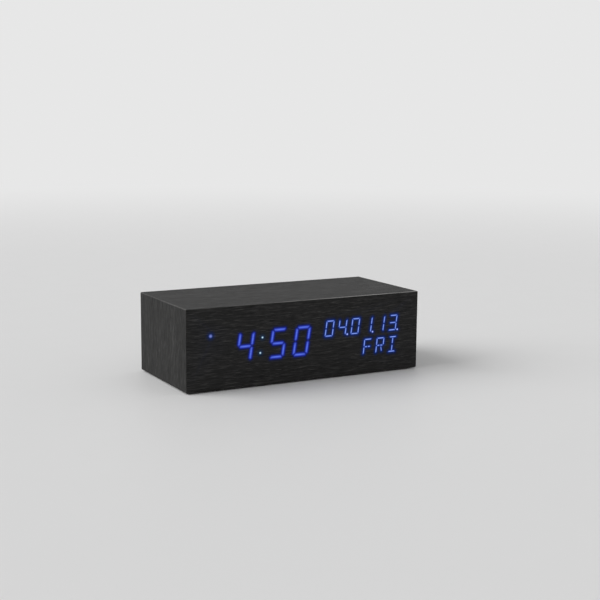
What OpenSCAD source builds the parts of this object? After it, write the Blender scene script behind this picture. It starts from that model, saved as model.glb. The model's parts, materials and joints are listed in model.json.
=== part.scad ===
// Block alarm clock in black wood veneer, with a display that shines through the face.
// Millimetres. X runs along the front, Y from the front to the back, Z up from the table.
// The origin is on the table, under the middle of the case.

/* [Case] */
// Width of the case along the front
case_w = 210; // [206:1:260]
// Depth of the case from front to back
case_d = 94; // [88:1:140]
// Height of the wooden case without its feet
case_h = 65; // [63:1:90]
// Thickness of the veneered boards
board_t = 6; // [4:0.5:7]
// Radius of the eased long edges
edge_r = 0.8; // [0.3:0.1:2]
// Thickness of the face veneer
veneer_t = 0.6; // [0.4:0.1:1.2]
// Thickness of the panel behind the face veneer
front_t = 6; // [5:0.5:9]
// Side of the square corner blocks
block_s = 11; // [9:0.5:12]
// Length of the corner blocks
block_l = 26; // [18:1:40]

/* [Feet] */
// Diameter of a rubber foot
foot_d = 10; // [6:0.5:14]
// Thickness of a rubber foot
foot_t = 2; // [1.5:0.1:4]
// How far a foot stands out of its pocket
foot_proud = 1; // [0.5:0.1:1.4]
// Distance from a foot's centre to the nearer end of the case
foot_end = 16; // [12:1:40]
// Distance from a foot's centre to the front or the back of the case
foot_side = 14; // [12:1:30]

/* [Display reading] */
// Hour shown
hour = 4; // [1:1:12]
// Minute shown
minute = 50; // [0:1:59]
// Day of the month shown
date_day = 4; // [1:1:31]
// Month shown
date_month = 1; // [1:1:12]
// Last two digits of the year shown
date_year = 13; // [0:1:99]
// Weekday shown
weekday = "FRI"; // [MON, TUE, WED, THU, FRI, SAT, SUN]

/* [Time digits] */
// Width of a time digit between the centre lines of its segments
time_w = 11.35; // [9:0.05:13]
// Height of a time digit between the centre lines of its segments
time_h = 21.7; // [16:0.1:28]
// Width of a segment of the time
time_t = 2.1; // [1.8:0.1:3]
// Gap between neighbouring segments of the time
time_gap = 0.5; // [0.3:0.05:0.7]
// Length cut off each sharp tip of the time segments
time_tip = 1.4; // [0.5:0.1:1.6]
// Space between time digits
time_space = 10; // [8:0.1:12]
// Extra space for the colon between hours and minutes
colon_space = 7.2; // [5:0.1:8]
// Lean of the time digits in degrees
time_slant = 9; // [0:0.5:12]
// Distance from the left end of the case to the first time digit
face_left = 20.9; // [19:0.1:26]
// Middle of the time row above the middle of the case
time_z = -0.15; // [-3:0.05:3]
// Diameter of the colon dots
colon_d = 1.3; // [1:0.1:2]
// Diameter of the alarm dot
alarm_d = 2.4; // [1.9:0.1:2.8]

/* [Calendar digits] */
// Width of a date digit between the centre lines of its segments
date_w = 6.55; // [5.5:0.05:7.5]
// Height of a date digit between the centre lines of its segments
date_h = 12.1; // [10:0.1:13]
// Width of a segment of the date
date_t = 0.9; // [0.8:0.05:1.5]
// Gap between neighbouring segments of the date
date_gap = 0.35; // [0.25:0.05:0.4]
// Length cut off each sharp tip of the date segments
date_tip = 0.3; // [0.1:0.05:0.5]
// Space between date digits
date_space = 5.55; // [4.5:0.05:6]
// Lean of the date digits in degrees
date_slant = 8; // [0:0.5:10]
// Lean of the weekday letters in degrees
weekday_slant = 6; // [0:0.5:10]
// Space between the last time digit and the first date digit
date_room = 17.45; // [16:0.05:20]
// Distance from the last date point to the right end of the case
face_right = 19.95; // [18:0.05:26]
// Middle of the date row above the middle of the case
date_z = 7.65; // [7:0.05:9]
// Middle of the weekday row below the middle of the case
weekday_z = 10.4; // [9:0.1:11]
// Diameter of the date points
point_d = 1.1; // [0.9:0.1:1.7]

/* [Display module] */
// Rim of a reflector block around its digits
reflector_rim = 4; // [3.5:0.1:4.5]
// Clearance of a reflector block in its window
reflector_fit = 0.2; // [0.1:0.05:0.4]
// Clearance of a light bar in its well
bar_fit = 0.05; // [0.02:0.01:0.1]
// Thickness of both circuit boards
circuit_t = 1.6; // [1:0.1:2]
// Gap between the display board and the top and base boards
display_board_gap = 1.5; // [0.5:0.1:3]
// Rim of the display board beyond the reflector blocks
display_board_rim = 5; // [4.5:0.1:6]

/* [Rear panel] */
// Thickness of the moulded rear panel
panel_t = 2.5; // [2:0.1:4]
// How far the rear panel sits inside the rear edge of the case
panel_inset = 1.5; // [1.3:0.1:4]
// Clearance around the rear panel
panel_fit = 0.3; // [0.1:0.05:0.6]
// Gap between the rear panel and the main board
standoff = 9.5; // [9:0.1:14]
// Gap between the main board and the corner blocks
main_gap = 2; // [0.5:0.1:4]
// Width of the main board
main_w = 80; // [78:0.5:86]
// Height of the main board
main_h = 43; // [40:0.5:48]

/* [Controls] */
// Diameter of a button cap
button_d = 8; // [6:0.1:9]
// How far a button cap stands out of the rear panel
button_proud = 1.2; // [0.9:0.1:1.3]
// Travel of a button
button_travel = 0.8; // [0.3:0.1:0.8]
// Distance from one button to the next
button_pitch = 14; // [14:0.1:15]
// Distance from the end of the main board to the first button
button_at = 18; // [15:0.5:20]
// Height of the button row above the middle of the case
button_z = 8.5; // [7:0.5:10]
// Depth of the row of sounder, switch and jack below the middle of the case
lower_z = 9.5; // [9:0.5:11]
// Distance from the end of the main board to the sounder
sounder_at = 18; // [16:0.5:18]
// Distance from the end of the main board to the microphone
mic_at = 32; // [31:0.5:33]
// Distance from the end of the main board to the sound switch
switch_at = 48; // [47:0.5:49]
// Distance from the end of the main board to the power jack
jack_at = 68; // [66:0.5:69]
// Travel of the sound switch
switch_travel = 3; // [2:0.1:3]
// Diameter of the bore of the power jack
jack_bore_d = 5.8; // [5.6:0.1:6.2]
// Diameter of the centre pin of the power jack
jack_pin_d = 2.1; // [1.6:0.1:2.5]

/* [Battery bay] */
// Number of cells
cell_count = 3; // [2:1:3]
// Diameter of a cell
cell_d = 10.5; // [10:0.1:10.6]
// Length of a cell with its cap
cell_l = 44.5; // [43:0.1:46]
// Space between cells
cell_space = 0.3; // [0.2:0.05:0.8]
// Length of a contact spring under load
spring_l = 4.5; // [4:0.1:6]
// Gap between the battery tray and the corner blocks
bay_gap = 11; // [2:0.5:12]
// Wall of the battery tray
tray_wall = 1.5; // [1.2:0.1:2]
// Ledge of the tray under the edge of the door
door_ledge = 2; // [1.6:0.1:3]
// Clearance around the battery door
door_fit = 0.3; // [0.25:0.05:0.5]

/* [Hidden] */
$fn = 48;

// Planes of the case
front_y = -case_d / 2;
back_y = case_d / 2;
base_z = foot_proud;
top_z = base_z + case_h;
mid_z = base_z + case_h / 2;
inner_w = case_w - 2 * board_t;
inner_h = case_h - 2 * board_t;
veneer_y = front_y + veneer_t;
front_panel_y = veneer_y + front_t;

// Digit rows: the spaces share in proportion what the digits leave of the face
point_out = 2.05;
point_x = date_w + point_out;
digits_l = 4 * time_w + 5 * date_w + point_x;
spaces_l = 3 * time_space + colon_space + date_room + 5 * date_space;
share = (case_w - face_left - face_right - digits_l) / spaces_l;
time_pitch = time_w + share * time_space;
colon_gap = share * colon_space;
date_pitch = date_w + share * date_space;

// Left end and bottom of each row, on the centre lines of the segments
time_row = [face_left - case_w / 2, mid_z + time_z - time_h / 2];
time_end = time_row[0] + 3 * time_pitch + colon_gap + time_w;
date_row = [time_end + share * date_room, mid_z + date_z - date_h / 2];
weekday_row = [date_row[0] + 3 * date_pitch, mid_z - weekday_z - date_h / 2];
colon_back = 0.515;
colon_x = -colon_back * share * (time_space + colon_space);
colon_spread = 0.56;
colon_drop = 0.3;
alarm_dot_out = 4;
alarm_dot_height = 0.99;
time_digits = [floor(hour / 10), hour % 10, floor(minute / 10), minute % 10];
date_digits = [for (n = [date_day, date_month, date_year]) each [floor(n / 10), n % 10]];

// Reflector blocks and display board: left, bottom, right, top
time_block = [
    time_row[0] - reflector_rim, time_row[1] - reflector_rim,
    time_end + time_h * tan(time_slant) + reflector_rim, time_row[1] + time_h + reflector_rim
];
calendar_block = [
    date_row[0] - reflector_rim, weekday_row[1] - reflector_rim,
    date_row[0] + 5 * date_pitch + point_x + point_d / 2 + reflector_rim,
    date_row[1] + date_h + reflector_rim
];
display_board_x = [time_block[0] - display_board_rim, calendar_block[2] + display_board_rim];
display_board_y = front_panel_y + circuit_t;
display_screw_x = [
    (time_block[0] + display_board_x[0]) / 2, (time_block[2] + calendar_block[0]) / 2,
    (calendar_block[2] + display_board_x[1]) / 2
];
display_board_h = inner_h - 2 * display_board_gap;
display_screw_edge = 2.5;
display_screw_z = display_board_h / 2 - display_screw_edge;
led_h = 0.8;
small_led_h = 0.4;
bar_led_gap = 0.8;
driver_in = 30;

// Rear panel and main board
panel_out_y = back_y - panel_inset;
panel_in_y = panel_out_y - panel_t;
panel_w = inner_w - 2 * panel_fit;
panel_h = inner_h - 2 * panel_fit;
panel_screw_x = inner_w / 2 - block_s / 2;
panel_screw_z = inner_h / 2 - block_s / 2;
main_back_y = panel_in_y - standoff;
main_front_y = main_back_y - circuit_t;
main_x = inner_w / 2 - block_s - main_gap - main_w;
main_hole_edge = 4;
main_hole_x = [main_x + main_hole_edge, main_x + main_w - main_hole_edge];
main_hole_z = main_h / 2 - main_hole_edge;
boss_d = 6;

// How far a cut runs past the face that it opens
over = 1;

// Screws: shank diameter, shank length, head diameter, head height
panel_screw = [3, 14, 5.8, 1.9];
main_screw = [2.2, 7, 4.4, 1.6];
display_screw = [2.2, 5.8, 4.2, 1.5];
screw_fit = 0.1;
pilot_room = 1;
counterbore = [6.6, 1];

// Buttons, from the main board outwards
button_x = [for (i = [0:3]) main_x + button_at + i * button_pitch];
tact_s = 6;
tact_h = 3.5;
plunger_d = 3.3;
plunger_fit = 0.12;
plunger_left = 0.7;
plunger_out = button_travel + plunger_left;
tact_floor = 0.3;
plunger_room = 0.2;
plunger_l = tact_h + plunger_out - tact_floor - plunger_room - button_travel;
flange_step = 1.25;
flange_d = button_d + 2 * flange_step;
flange_t = 1.2;
flange_gap = 0.15;
button_fit = 0.2;
stem_d = 4;
collar_wall = 1.6;
collar_lap = 0.45;
collar_h = flange_gap + flange_t + button_travel + collar_lap;

// Sound switch, sounder, microphone and jack
switch_x = main_x + switch_at;
switch_lever_s = 1.6;
switch_lever_out = 2.5;
switch_wall = 2.2;
switch_body = [switch_lever_s + switch_travel + 2 * switch_wall, 4.4, 4.4];
switch_nub = [4, 3.4, 1];
fork_wall = 1.2;
fork_fit = 0.1;
fork_gap = 0.5;
switch_shoe_lap = 1.5;
switch_shoe = [switch_nub[0] + 2 * switch_travel + 2 * switch_shoe_lap, 7, 1];
sounder_d = 12;
sounder_gap = 1;
sounder_h = standoff - sounder_gap;
mic_d = 6;
mic_h = 5;
mic_boot_d = 9;
grille_d = 1.8;
grille_r = 3.6;
mic_hole_d = 1.6;
jack_x = main_x + jack_at;
jack_base_h = 6;
jack_floor = 2.5;
jack_wall = 1;
jack_nose_d = jack_bore_d + 2 * jack_wall;
jack_shoulder = 0.6;
jack_s = jack_nose_d + 2 * jack_shoulder;
jack_pin_setback = 1.2;
jack_root_step = 0.4;
lower_row_z = mid_z - lower_z;

// Battery bay: inner box, door and tray
contact_t = 0.4;
contact_s = 8.4;
cap_d = 3.8;
cap_l = 0.8;
cell_gap = 0.8;
cell_fit = 0.15;
seat_fit = 0.05;
bay_l = 2 * contact_t + spring_l + cell_l + 2 * seat_fit;
cell_pitch = cell_d + cell_space;
bay_h = cell_count * cell_pitch;
cell_y = panel_in_y - cell_gap - cell_d / 2;
tray_floor_y = cell_y - cell_d / 2 - 2 * cell_fit;
door_w = bay_l + 2 * door_ledge;
door_h = bay_h + 2 * door_ledge;
door_bottom_z = mid_z - door_h / 2;
tray_rim = 4;
tray_rim_t = 1.6;
bay_x = -inner_w / 2 + block_s + bay_gap + tray_rim + door_w / 2;
hinge_wall = 0.5;
hinge_pin_d = panel_t - 2 * hinge_wall;
hinge_pin_in = 1.1;
hinge_fit = 0.05;
hinge_y = panel_in_y + panel_t / 2;
hinge_z = door_bottom_z + panel_t / 2;
latch_w = 12;
latch_l = 9;
latch_slit = 0.8;
latch_nib = 0.1;
latch_nib_in = 1;
spring_wire_d = 0.6;
spring_r = [3.2, 1.9];
spring_turns = 3;

// Parts on the front of the main board, from its end and below its middle
chip_at = 28;
crystal_at = 44;
capacitor_at = 60;
chip_drop = 8;
lead_at = 5;
lead_spread = 4;
lead_in = 4;
lead_bow = 12;
lead_d = 1.5;

// Ribbon cable
ribbon_at = 40;
ribbon_x = main_x + ribbon_at;
ribbon_w = 20;
ribbon_t = 0.9;
ribbon_rise = 13.5;
ribbon_z = [mid_z, mid_z + ribbon_rise];
ribbon_sag = 9;
socket_end = 2;
socket_l = 6;
socket_h = 5;
socket_slot = 4;
ribbon_fit = 0.1;
ribbon_end_gap = 0.5;

// Colours
BLACK_VENEER = [0.10, 0.10, 0.10];
FIBREBOARD = [0.62, 0.48, 0.34];
BLACK_PLASTIC = [0.13, 0.13, 0.14];
WHITE_PLASTIC = [0.92, 0.92, 0.90];
MILKY = [0.80, 0.84, 0.95];
LIT_BLUE = [0.22, 0.30, 0.95];
LIT_DOT = [0.70, 0.86, 1.00];
CIRCUIT_GREEN = [0.07, 0.32, 0.16];
STEEL = [0.72, 0.73, 0.75];
RUBBER = [0.06, 0.06, 0.06];

// Shared shapes

// Solid of a front-view outline between two depths
module slab(y1, y2) {
    translate([0, y2, 0]) rotate([90, 0, 0]) linear_extrude(y2 - y1) children();
}

// Box between two corners
module box(low, high) {
    translate(low) cube(high - low);
}

// Rod along Y from a start point
module rod(start, d, l) {
    translate(start) rotate([-90, 0, 0]) cylinder(d = d, h = l);
}

// Rod along X from a start point
module cross_rod(start, d, l) {
    translate(start) rotate([0, 90, 0]) cylinder(d = d, h = l);
}

// Rectangle with round corners, about its middle
module round_rect(w, h, r) {
    square([w - 2 * r, h], center = true);
    square([w, h - 2 * r], center = true);
    for (x = [-1, 1], z = [-1, 1])
        translate([x * (w / 2 - r), z * (h / 2 - r)]) circle(r);
}

// Rectangle given as left, bottom, right and top, grown by a margin
module block_outline(b, grow = 0) {
    translate([b[0] - grow, b[1] - grow]) square([b[2] - b[0] + 2 * grow, b[3] - b[1] + 2 * grow]);
}

// Screw with its head seated on z = 0 and its tip below, with a cross recess
module screw(s) {
    recess = [0.8, s[2] * 0.55, s[3] * 0.5];
    difference() {
        rotate_extrude() polygon([
            [0, -s[1]], [s[0] / 2, -s[1] + s[0] / 2], [s[0] / 2, 0], [s[2] / 2, 0],
            [s[2] / 2, s[3] * 0.5], [s[2] * 0.3, s[3]], [0, s[3]]
        ]);
        for (a = [0, 90])
            rotate(a) translate([-recess[0] / 2, -recess[1] / 2, s[3] - recess[2]])
                cube([recess[0], recess[1], s[3]]);
    }
}

// Tube of round wire swept along a list of points
module wire(points, d, sides, up = [0, 0, 1]) {
    last = len(points) - 1;
    rings = [for (i = [0:last])
        let (along = points[min(i + 1, last)] - points[max(i - 1, 0)],
             t = along / norm(along),
             s = cross(t, up) / norm(cross(t, up)),
             u = cross(s, t))
        each [for (k = [0:sides - 1])
            points[i] + d / 2 * (cos(360 * k / sides) * s + sin(360 * k / sides) * u)]];
    skin = [for (i = [0:last - 1], k = [0:sides - 1])
        let (a = i * sides + k, b = i * sides + (k + 1) % sides)
        each [[a, b, b + sides], [a, b + sides, a + sides]]];
    caps = [for (k = [1:sides - 2])
        each [[0, k + 1, k], [last * sides, last * sides + k, last * sides + k + 1]]];
    polyhedron(rings, concat(skin, caps));
}

// Segments of the display

// Outline moved to a row position and leaned over
function placed(points, at, slant) =
    [for (p = points) [at[0] + p[0] + p[1] * tan(slant), at[1] + p[1]]];

// Straight bar of a given width between two points
function bar(p, q, t) =
    let (d = (q - p) / norm(q - p), n = [-d[1], d[0]] * t / 2) [p + n, q + n, q - n, p - n];

// One of the seven outer and middle segments of a digit
function digit_segment(s, w, h, t, g) =
    let (k = t / 2, m = h / 2)
    s == "a" ? [[g - k, h + k], [w + k - g, h + k], [w - k - g, h - k], [k + g, h - k]] :
    s == "b" ? [[w + k, h + k - g], [w - k, h - k - g], [w - k, m + k + g], [w, m + g], [w + k, m + k + g]] :
    s == "c" ? [[w + k, g - k], [w - k, k + g], [w - k, m - k - g], [w, m - g], [w + k, m - k - g]] :
    s == "d" ? [[g - k, -k], [w + k - g, -k], [w - k - g, k], [k + g, k]] :
    s == "e" ? [[-k, g - k], [k, k + g], [k, m - k - g], [0, m - g], [-k, m - k - g]] :
    s == "f" ? [[-k, h + k - g], [k, h - k - g], [k, m + k + g], [0, m + g], [-k, m + k + g]] :
    [[g, m], [k + g, m + k], [w - k - g, m + k], [w - g, m], [w - k - g, m - k], [k + g, m - k]];

// One of the fourteen segments of a letter: the middle bar is split and eight more meet the centre
function letter_segment(s, w, h, t, g) =
    let (k = t / 2, m = h / 2, c = w / 2, x1 = k + g, x2 = c - k - g, z1 = m - k - g, z2 = k + g)
    s == "g" ? bar([x1, m], [c - g, m], t) :
    s == "m" ? bar([c + g, m], [w - x1, m], t) :
    s == "j" ? bar([c, h - z2], [c, h - z1], t) :
    s == "l" ? bar([c, z1], [c, z2], t) :
    s == "h" ? bar([x1 + k, h - z2 - k], [x2 - g, h - z1 + k], t * 0.8) :
    s == "k" ? bar([w - x1 - k, h - z2 - k], [w - x2 + g, h - z1 + k], t * 0.8) :
    s == "n" ? bar([x2 - g, z1 - k], [x1 + k, z2 + k], t * 0.8) :
    s == "q" ? bar([w - x2 + g, z1 - k], [w - x1 - k, z2 + k], t * 0.8) :
    digit_segment(s, w, h, t, g);

ALL_SEVEN = "abcdefg";
ALL_FOURTEEN = "abcdefghjklmnq";
DIGIT_SEGMENTS = [
    "abcdef", "bc", "abdeg", "abcdg", "bcfg", "acdfg", "acdefg", "abc", "abcdefg", "abcdfg"
];
LETTERS = "ADEFHIMNORSTUW";
LETTER_SEGMENTS = [
    "abcefgm", "abcdjl", "adefgm", "aefgm", "bcefgm", "adjl", "bcefhk", "bcefhq", "abcdef", "abefgmq",
    "acdfgm", "ajl", "bcdef", "bcefnq"
];
function letter_pattern(c) = LETTER_SEGMENTS[search(c, LETTERS)[0]];

// Place of a time digit, a date digit and a weekday letter
function time_at(i) = time_row + [i * time_pitch + (i > 1 ? colon_gap : 0), 0];
function date_at(i) = date_row + [i * date_pitch, 0];
function weekday_at(i) = weekday_row + [i * date_pitch, 0];

// Segments shown: all of them for the wells, or only those that the reading lights
function time_pattern(i, lit) =
    !lit ? ALL_SEVEN : (i == 0 && time_digits[0] == 0) ? "" : DIGIT_SEGMENTS[time_digits[i]];
function date_pattern(i, lit) = lit ? DIGIT_SEGMENTS[date_digits[i]] : ALL_SEVEN;
function weekday_pattern(i, lit) = lit ? letter_pattern(weekday[i]) : ALL_FOURTEEN;

// Outline with each tip sharper than this angle cut off at a given length from the tip
sharp_tip = 60;
function blunted(points, cut) =
    let (last = len(points) - 1)
    [for (i = [0:last])
        let (p = points[i],
             a = points[i == 0 ? last : i - 1] - p,
             b = points[i == last ? 0 : i + 1] - p,
             sharp = a * b > norm(a) * norm(b) * cos(sharp_tip))
        each sharp ? [p + a / norm(a) * cut, p + b / norm(b) * cut] : [p]];

// Outlines of the segments
function time_outlines(lit) =
    [for (i = [0:3]) for (s = time_pattern(i, lit))
        placed(blunted(digit_segment(s, time_w, time_h, time_t, time_gap), time_tip),
               time_at(i), time_slant)];
function date_outlines(lit) =
    [for (i = [0:5]) for (s = date_pattern(i, lit))
        placed(blunted(digit_segment(s, date_w, date_h, date_t, date_gap), date_tip),
               date_at(i), date_slant)];
function weekday_outlines(lit) =
    [for (i = [0:2]) for (s = weekday_pattern(i, lit))
        placed(blunted(letter_segment(s, date_w, date_h, date_t, date_gap), date_tip),
               weekday_at(i), weekday_slant)];

// Outline without concave corners, with every edge drawn in by a clearance
function turn(points) =
    sign(cross(points[1] - points[0], points[2] - points[1]));
function outward(p, q, side) =
    let (d = (q - p) / norm(q - p)) side * [d[1], -d[0]];
function drawn_in(points, inset) =
    let (last = len(points) - 1, side = turn(points))
    [for (i = [0:last])
        let (a = outward(points[i == 0 ? last : i - 1], points[i], side),
             b = outward(points[i], points[i == last ? 0 : i + 1], side))
        points[i] - inset * (a + b) / (1 + a * b)];

// Centres of the round lights
colon_centres = [for (side = [-1, 1])
    placed([[colon_x, time_h / 2 * (1 + side * colon_spread) - colon_drop]], time_at(2), time_slant)[0]];
alarm_centres = placed([[-alarm_dot_out, time_h * alarm_dot_height]], time_at(0), time_slant);
function point_centres(lit) = [for (i = lit ? [1, 3, 5] : [0:5]) date_at(i) + [point_x, 0]];

module outlines(list, inset) {
    for (points = list) polygon(drawn_in(points, inset));
}

module discs(centres, d) {
    for (c = centres) translate(c) circle(d = d);
}

// Lights of one kind as flat shapes
module time_lights(lit, inset = 0) {
    outlines(time_outlines(lit), inset);
}

module dot_lights(inset = 0) {
    discs(colon_centres, colon_d - 2 * inset);
    discs(alarm_centres, alarm_d - 2 * inset);
}

module date_lights(lit, inset = 0) {
    outlines(date_outlines(lit), inset);
    discs(point_centres(lit), point_d - 2 * inset);
}

module weekday_lights(lit, inset = 0) {
    outlines(weekday_outlines(lit), inset);
}

// Case

// Full outline of the case seen from the front
module case_outline() {
    translate([0, mid_z]) round_rect(case_w, case_h, edge_r);
}

// Board of the case, cut to the case outline and mitred to its neighbours
module case_board(corners) {
    color(BLACK_VENEER) slab(veneer_y, back_y) intersection() {
        case_outline();
        polygon(corners);
    }
}

module top_board() {
    case_board([
        [-case_w / 2, top_z], [case_w / 2, top_z],
        [inner_w / 2, top_z - board_t], [-inner_w / 2, top_z - board_t]
    ]);
}

foot_centres = [for (x = [-1, 1], y = [-1, 1]) [x * (case_w / 2 - foot_end), y * (case_d / 2 - foot_side)]];

module base_board() {
    color(BLACK_VENEER) difference() {
        case_board([
            [-case_w / 2, base_z], [case_w / 2, base_z],
            [inner_w / 2, base_z + board_t], [-inner_w / 2, base_z + board_t]
        ]);
        for (c = foot_centres)
            translate([c[0], c[1], 0]) cylinder(d = foot_d + 2 * screw_fit, h = foot_t);
    }
}

module end_board(side) {
    case_board([
        [side * case_w / 2, base_z], [side * case_w / 2, top_z],
        [side * inner_w / 2, top_z - board_t], [side * inner_w / 2, base_z + board_t]
    ]);
}

module feet() {
    soft_edge = 0.4;
    color(RUBBER) for (c = foot_centres)
        translate([c[0], c[1], 0]) rotate_extrude() polygon([
            [0, 0], [foot_d / 2 - soft_edge, 0], [foot_d / 2, soft_edge], [foot_d / 2, foot_t], [0, foot_t]
        ]);
}

module front_panel() {
    hole_l = display_screw[1] - circuit_t + 2 * screw_fit;
    color(FIBREBOARD) difference() {
        slab(veneer_y, front_panel_y) difference() {
            translate([0, mid_z]) square([inner_w, inner_h], center = true);
            block_outline(time_block, reflector_fit);
            block_outline(calendar_block, reflector_fit);
        }
        for (x = display_screw_x, side = [-1, 1])
            rod([x, front_panel_y - hole_l, mid_z + side * display_screw_z],
                display_screw[0] + 2 * screw_fit, hole_l + over);
    }
}

module face_veneer() {
    color(BLACK_VENEER) slab(front_y, veneer_y) difference() {
        case_outline();
        time_lights(true);
        dot_lights();
        date_lights(true);
        weekday_lights(true);
    }
}

module corner_blocks() {
    pilot_l = panel_screw[1] - panel_t + counterbore[1] + pilot_room;
    color(FIBREBOARD) for (x = [-1, 1], z = [-1, 1])
        difference() {
            translate([x * panel_screw_x, panel_in_y - block_l / 2, mid_z + z * panel_screw_z])
                cube([block_s, block_l, block_s], center = true);
            rod([x * panel_screw_x, panel_in_y - pilot_l, mid_z + z * panel_screw_z],
                panel_screw[0] + 2 * screw_fit, pilot_l + over);
        }
}

// Rear panel

module panel_plate() {
    corner_r = 1;
    slab(panel_in_y, panel_out_y) difference() {
        translate([0, mid_z]) round_rect(panel_w, panel_h, corner_r);
        translate([bay_x, mid_z]) square([door_w + 2 * door_fit, door_h + 2 * door_fit], center = true);
        translate([switch_x, lower_row_z]) round_rect(
            switch_nub[0] + switch_travel + 2 * button_fit, switch_nub[1] + 2 * button_fit, button_fit);
    }
}

module panel_posts() {
    for (x = main_hole_x, z = [-1, 1])
        rod([x, main_back_y, mid_z + z * main_hole_z], boss_d, standoff + panel_t / 2);
    for (x = button_x)
        rod([x, panel_in_y - collar_h, mid_z + button_z],
            flange_d + 4 * button_fit + 2 * collar_wall, collar_h + panel_t / 2);
}

module panel_holes() {
    through = panel_t + 2 * over;
    for (x = [-1, 1], z = [-1, 1]) {
        at = [x * panel_screw_x, panel_in_y - over, mid_z + z * panel_screw_z];
        rod(at, panel_screw[0] + 4 * screw_fit, through);
        rod([at[0], panel_out_y - counterbore[1], at[2]], counterbore[0], through);
    }
    for (x = button_x) {
        rod([x, panel_in_y - collar_h - over, mid_z + button_z], flange_d + 4 * button_fit, collar_h + over);
        rod([x, panel_in_y - over, mid_z + button_z], button_d + 2 * button_fit, through);
    }
    for (x = main_hole_x, z = [-1, 1])
        rod([x, main_back_y - over, mid_z + z * main_hole_z],
            main_screw[0] + 2 * screw_fit, main_screw[1] - circuit_t + pilot_room + over);
    rod([jack_x, panel_in_y - over, lower_row_z], jack_nose_d + 2 * button_fit, through);
    rod([main_x + mic_at, panel_in_y - over, lower_row_z], mic_hole_d, through);
    rod([main_x + sounder_at, panel_in_y - over, lower_row_z], grille_d, through);
    for (a = [0:60:300])
        rod([main_x + sounder_at + grille_r * cos(a), panel_in_y - over, lower_row_z + grille_r * sin(a)],
            grille_d, through);
    rod([bay_x, panel_out_y - panel_t / 2, mid_z + door_h / 2 + door_fit], latch_w, through);
    hinge_pin(hinge_pin_d + 2 * hinge_fit, door_fit + hinge_pin_in + hinge_fit);
}

module rear_panel() {
    color(BLACK_PLASTIC) difference() {
        union() {
            panel_plate();
            panel_posts();
        }
        panel_holes();
    }
}

module rear_panel_screws() {
    color(STEEL) for (x = [-1, 1], z = [-1, 1])
        translate([x * panel_screw_x, panel_out_y - counterbore[1], mid_z + z * panel_screw_z])
            rotate([-90, 0, 0]) screw(panel_screw);
}

// Display module

module display_board() {
    color(CIRCUIT_GREEN) difference() {
        box([display_board_x[0], front_panel_y, mid_z - display_board_h / 2],
            [display_board_x[1], display_board_y, mid_z + display_board_h / 2]);
        for (x = display_screw_x, side = [-1, 1])
            rod([x, front_panel_y - over, mid_z + side * display_screw_z],
                display_screw[0] + 4 * screw_fit, circuit_t + 2 * over);
    }
}

module display_board_screws() {
    color(STEEL) for (x = display_screw_x, side = [-1, 1])
        translate([x, display_board_y, mid_z + side * display_screw_z])
            rotate([-90, 0, 0]) screw(display_screw);
}

module driver_chips() {
    chip = [18, 2.3, 7.5];
    color(BLACK_PLASTIC) for (x = [time_block[0] + driver_in, time_block[2] - driver_in])
        box([x - chip[0] / 2, display_board_y, mid_z - chip[2] / 2],
            [x + chip[0] / 2, display_board_y + chip[1], mid_z + chip[2] / 2]);
}

// Mean of the corners of an outline
function middle(points) = [for (k = [0, 1]) [for (p = points) p[k]] * [for (p = points) 1 / len(points)]];

// Flat light source on the display board behind each centre
module leds(centres, size) {
    for (c = centres)
        box([c[0] - size[0] / 2, front_panel_y - size[1], c[1] - size[2] / 2],
            [c[0] + size[0] / 2, front_panel_y, c[1] + size[2] / 2]);
}

module led_chips() {
    big = [1.3, led_h, 1.1];
    small = [0.45, small_led_h, 0.3];
    color("ivory") {
        leds([for (o = time_outlines(false)) middle(o)], big);
        leds(alarm_centres, big);
        leds(colon_centres, small);
        leds([for (o = date_outlines(false)) middle(o)], small);
        leds(point_centres(false), small);
        leds([for (o = weekday_outlines(false)) middle(o)], small);
    }
}

module time_reflector() {
    color(WHITE_PLASTIC) slab(veneer_y, front_panel_y) difference() {
        block_outline(time_block);
        time_lights(false);
        dot_lights();
    }
}

module calendar_reflector() {
    color(WHITE_PLASTIC) slab(veneer_y, front_panel_y) difference() {
        block_outline(calendar_block);
        date_lights(false);
        weekday_lights(false);
    }
}

bar_back_y = front_panel_y - led_h - bar_led_gap;

module time_light_bars() {
    color(MILKY) slab(veneer_y, bar_back_y) {
        time_lights(false, bar_fit);
        dot_lights(bar_fit);
    }
}

module calendar_light_bars() {
    color(MILKY) slab(veneer_y, bar_back_y) {
        date_lights(false, bar_fit);
        weekday_lights(false, bar_fit);
    }
}

module lit_time_digits() {
    color(LIT_BLUE) slab(front_y, veneer_y) time_lights(true, bar_fit);
}

module lit_dots() {
    color(LIT_DOT) slab(front_y, veneer_y) dot_lights(bar_fit);
}

module lit_date_digits() {
    color(LIT_BLUE) slab(front_y, veneer_y) date_lights(true, bar_fit);
}

module lit_weekday_letters() {
    color(LIT_BLUE) slab(front_y, veneer_y) weekday_lights(true, bar_fit);
}

// Ribbon between the two boards

// Height of the ribbon along its way, level at both ends and hanging between them
function ribbon_height(s) =
    ribbon_z[0] + (ribbon_z[1] - ribbon_z[0]) * s * s * (3 - 2 * s)
    - 16 * ribbon_sag * s * s * (1 - s) * (1 - s);

module ribbon_cable() {
    steps = 24;
    lead_in = socket_slot - ribbon_end_gap;
    y1 = display_board_y + socket_l;
    y2 = main_front_y - socket_l;
    line = concat(
        [[y1 - lead_in, ribbon_z[0]]],
        [for (i = [0:steps]) [y1 + (y2 - y1) * i / steps, ribbon_height(i / steps)]],
        [[y2 + lead_in, ribbon_z[1]]]
    );
    last = len(line) - 1;
    edges = concat(
        [for (i = [0:last]) line[i] + [0, ribbon_t / 2]],
        [for (i = [last:-1:0]) line[i] - [0, ribbon_t / 2]]
    );
    color("silver") translate([ribbon_x - ribbon_w / 2, 0, 0])
        rotate([90, 0, 90]) linear_extrude(ribbon_w) polygon(edges);
}

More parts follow.
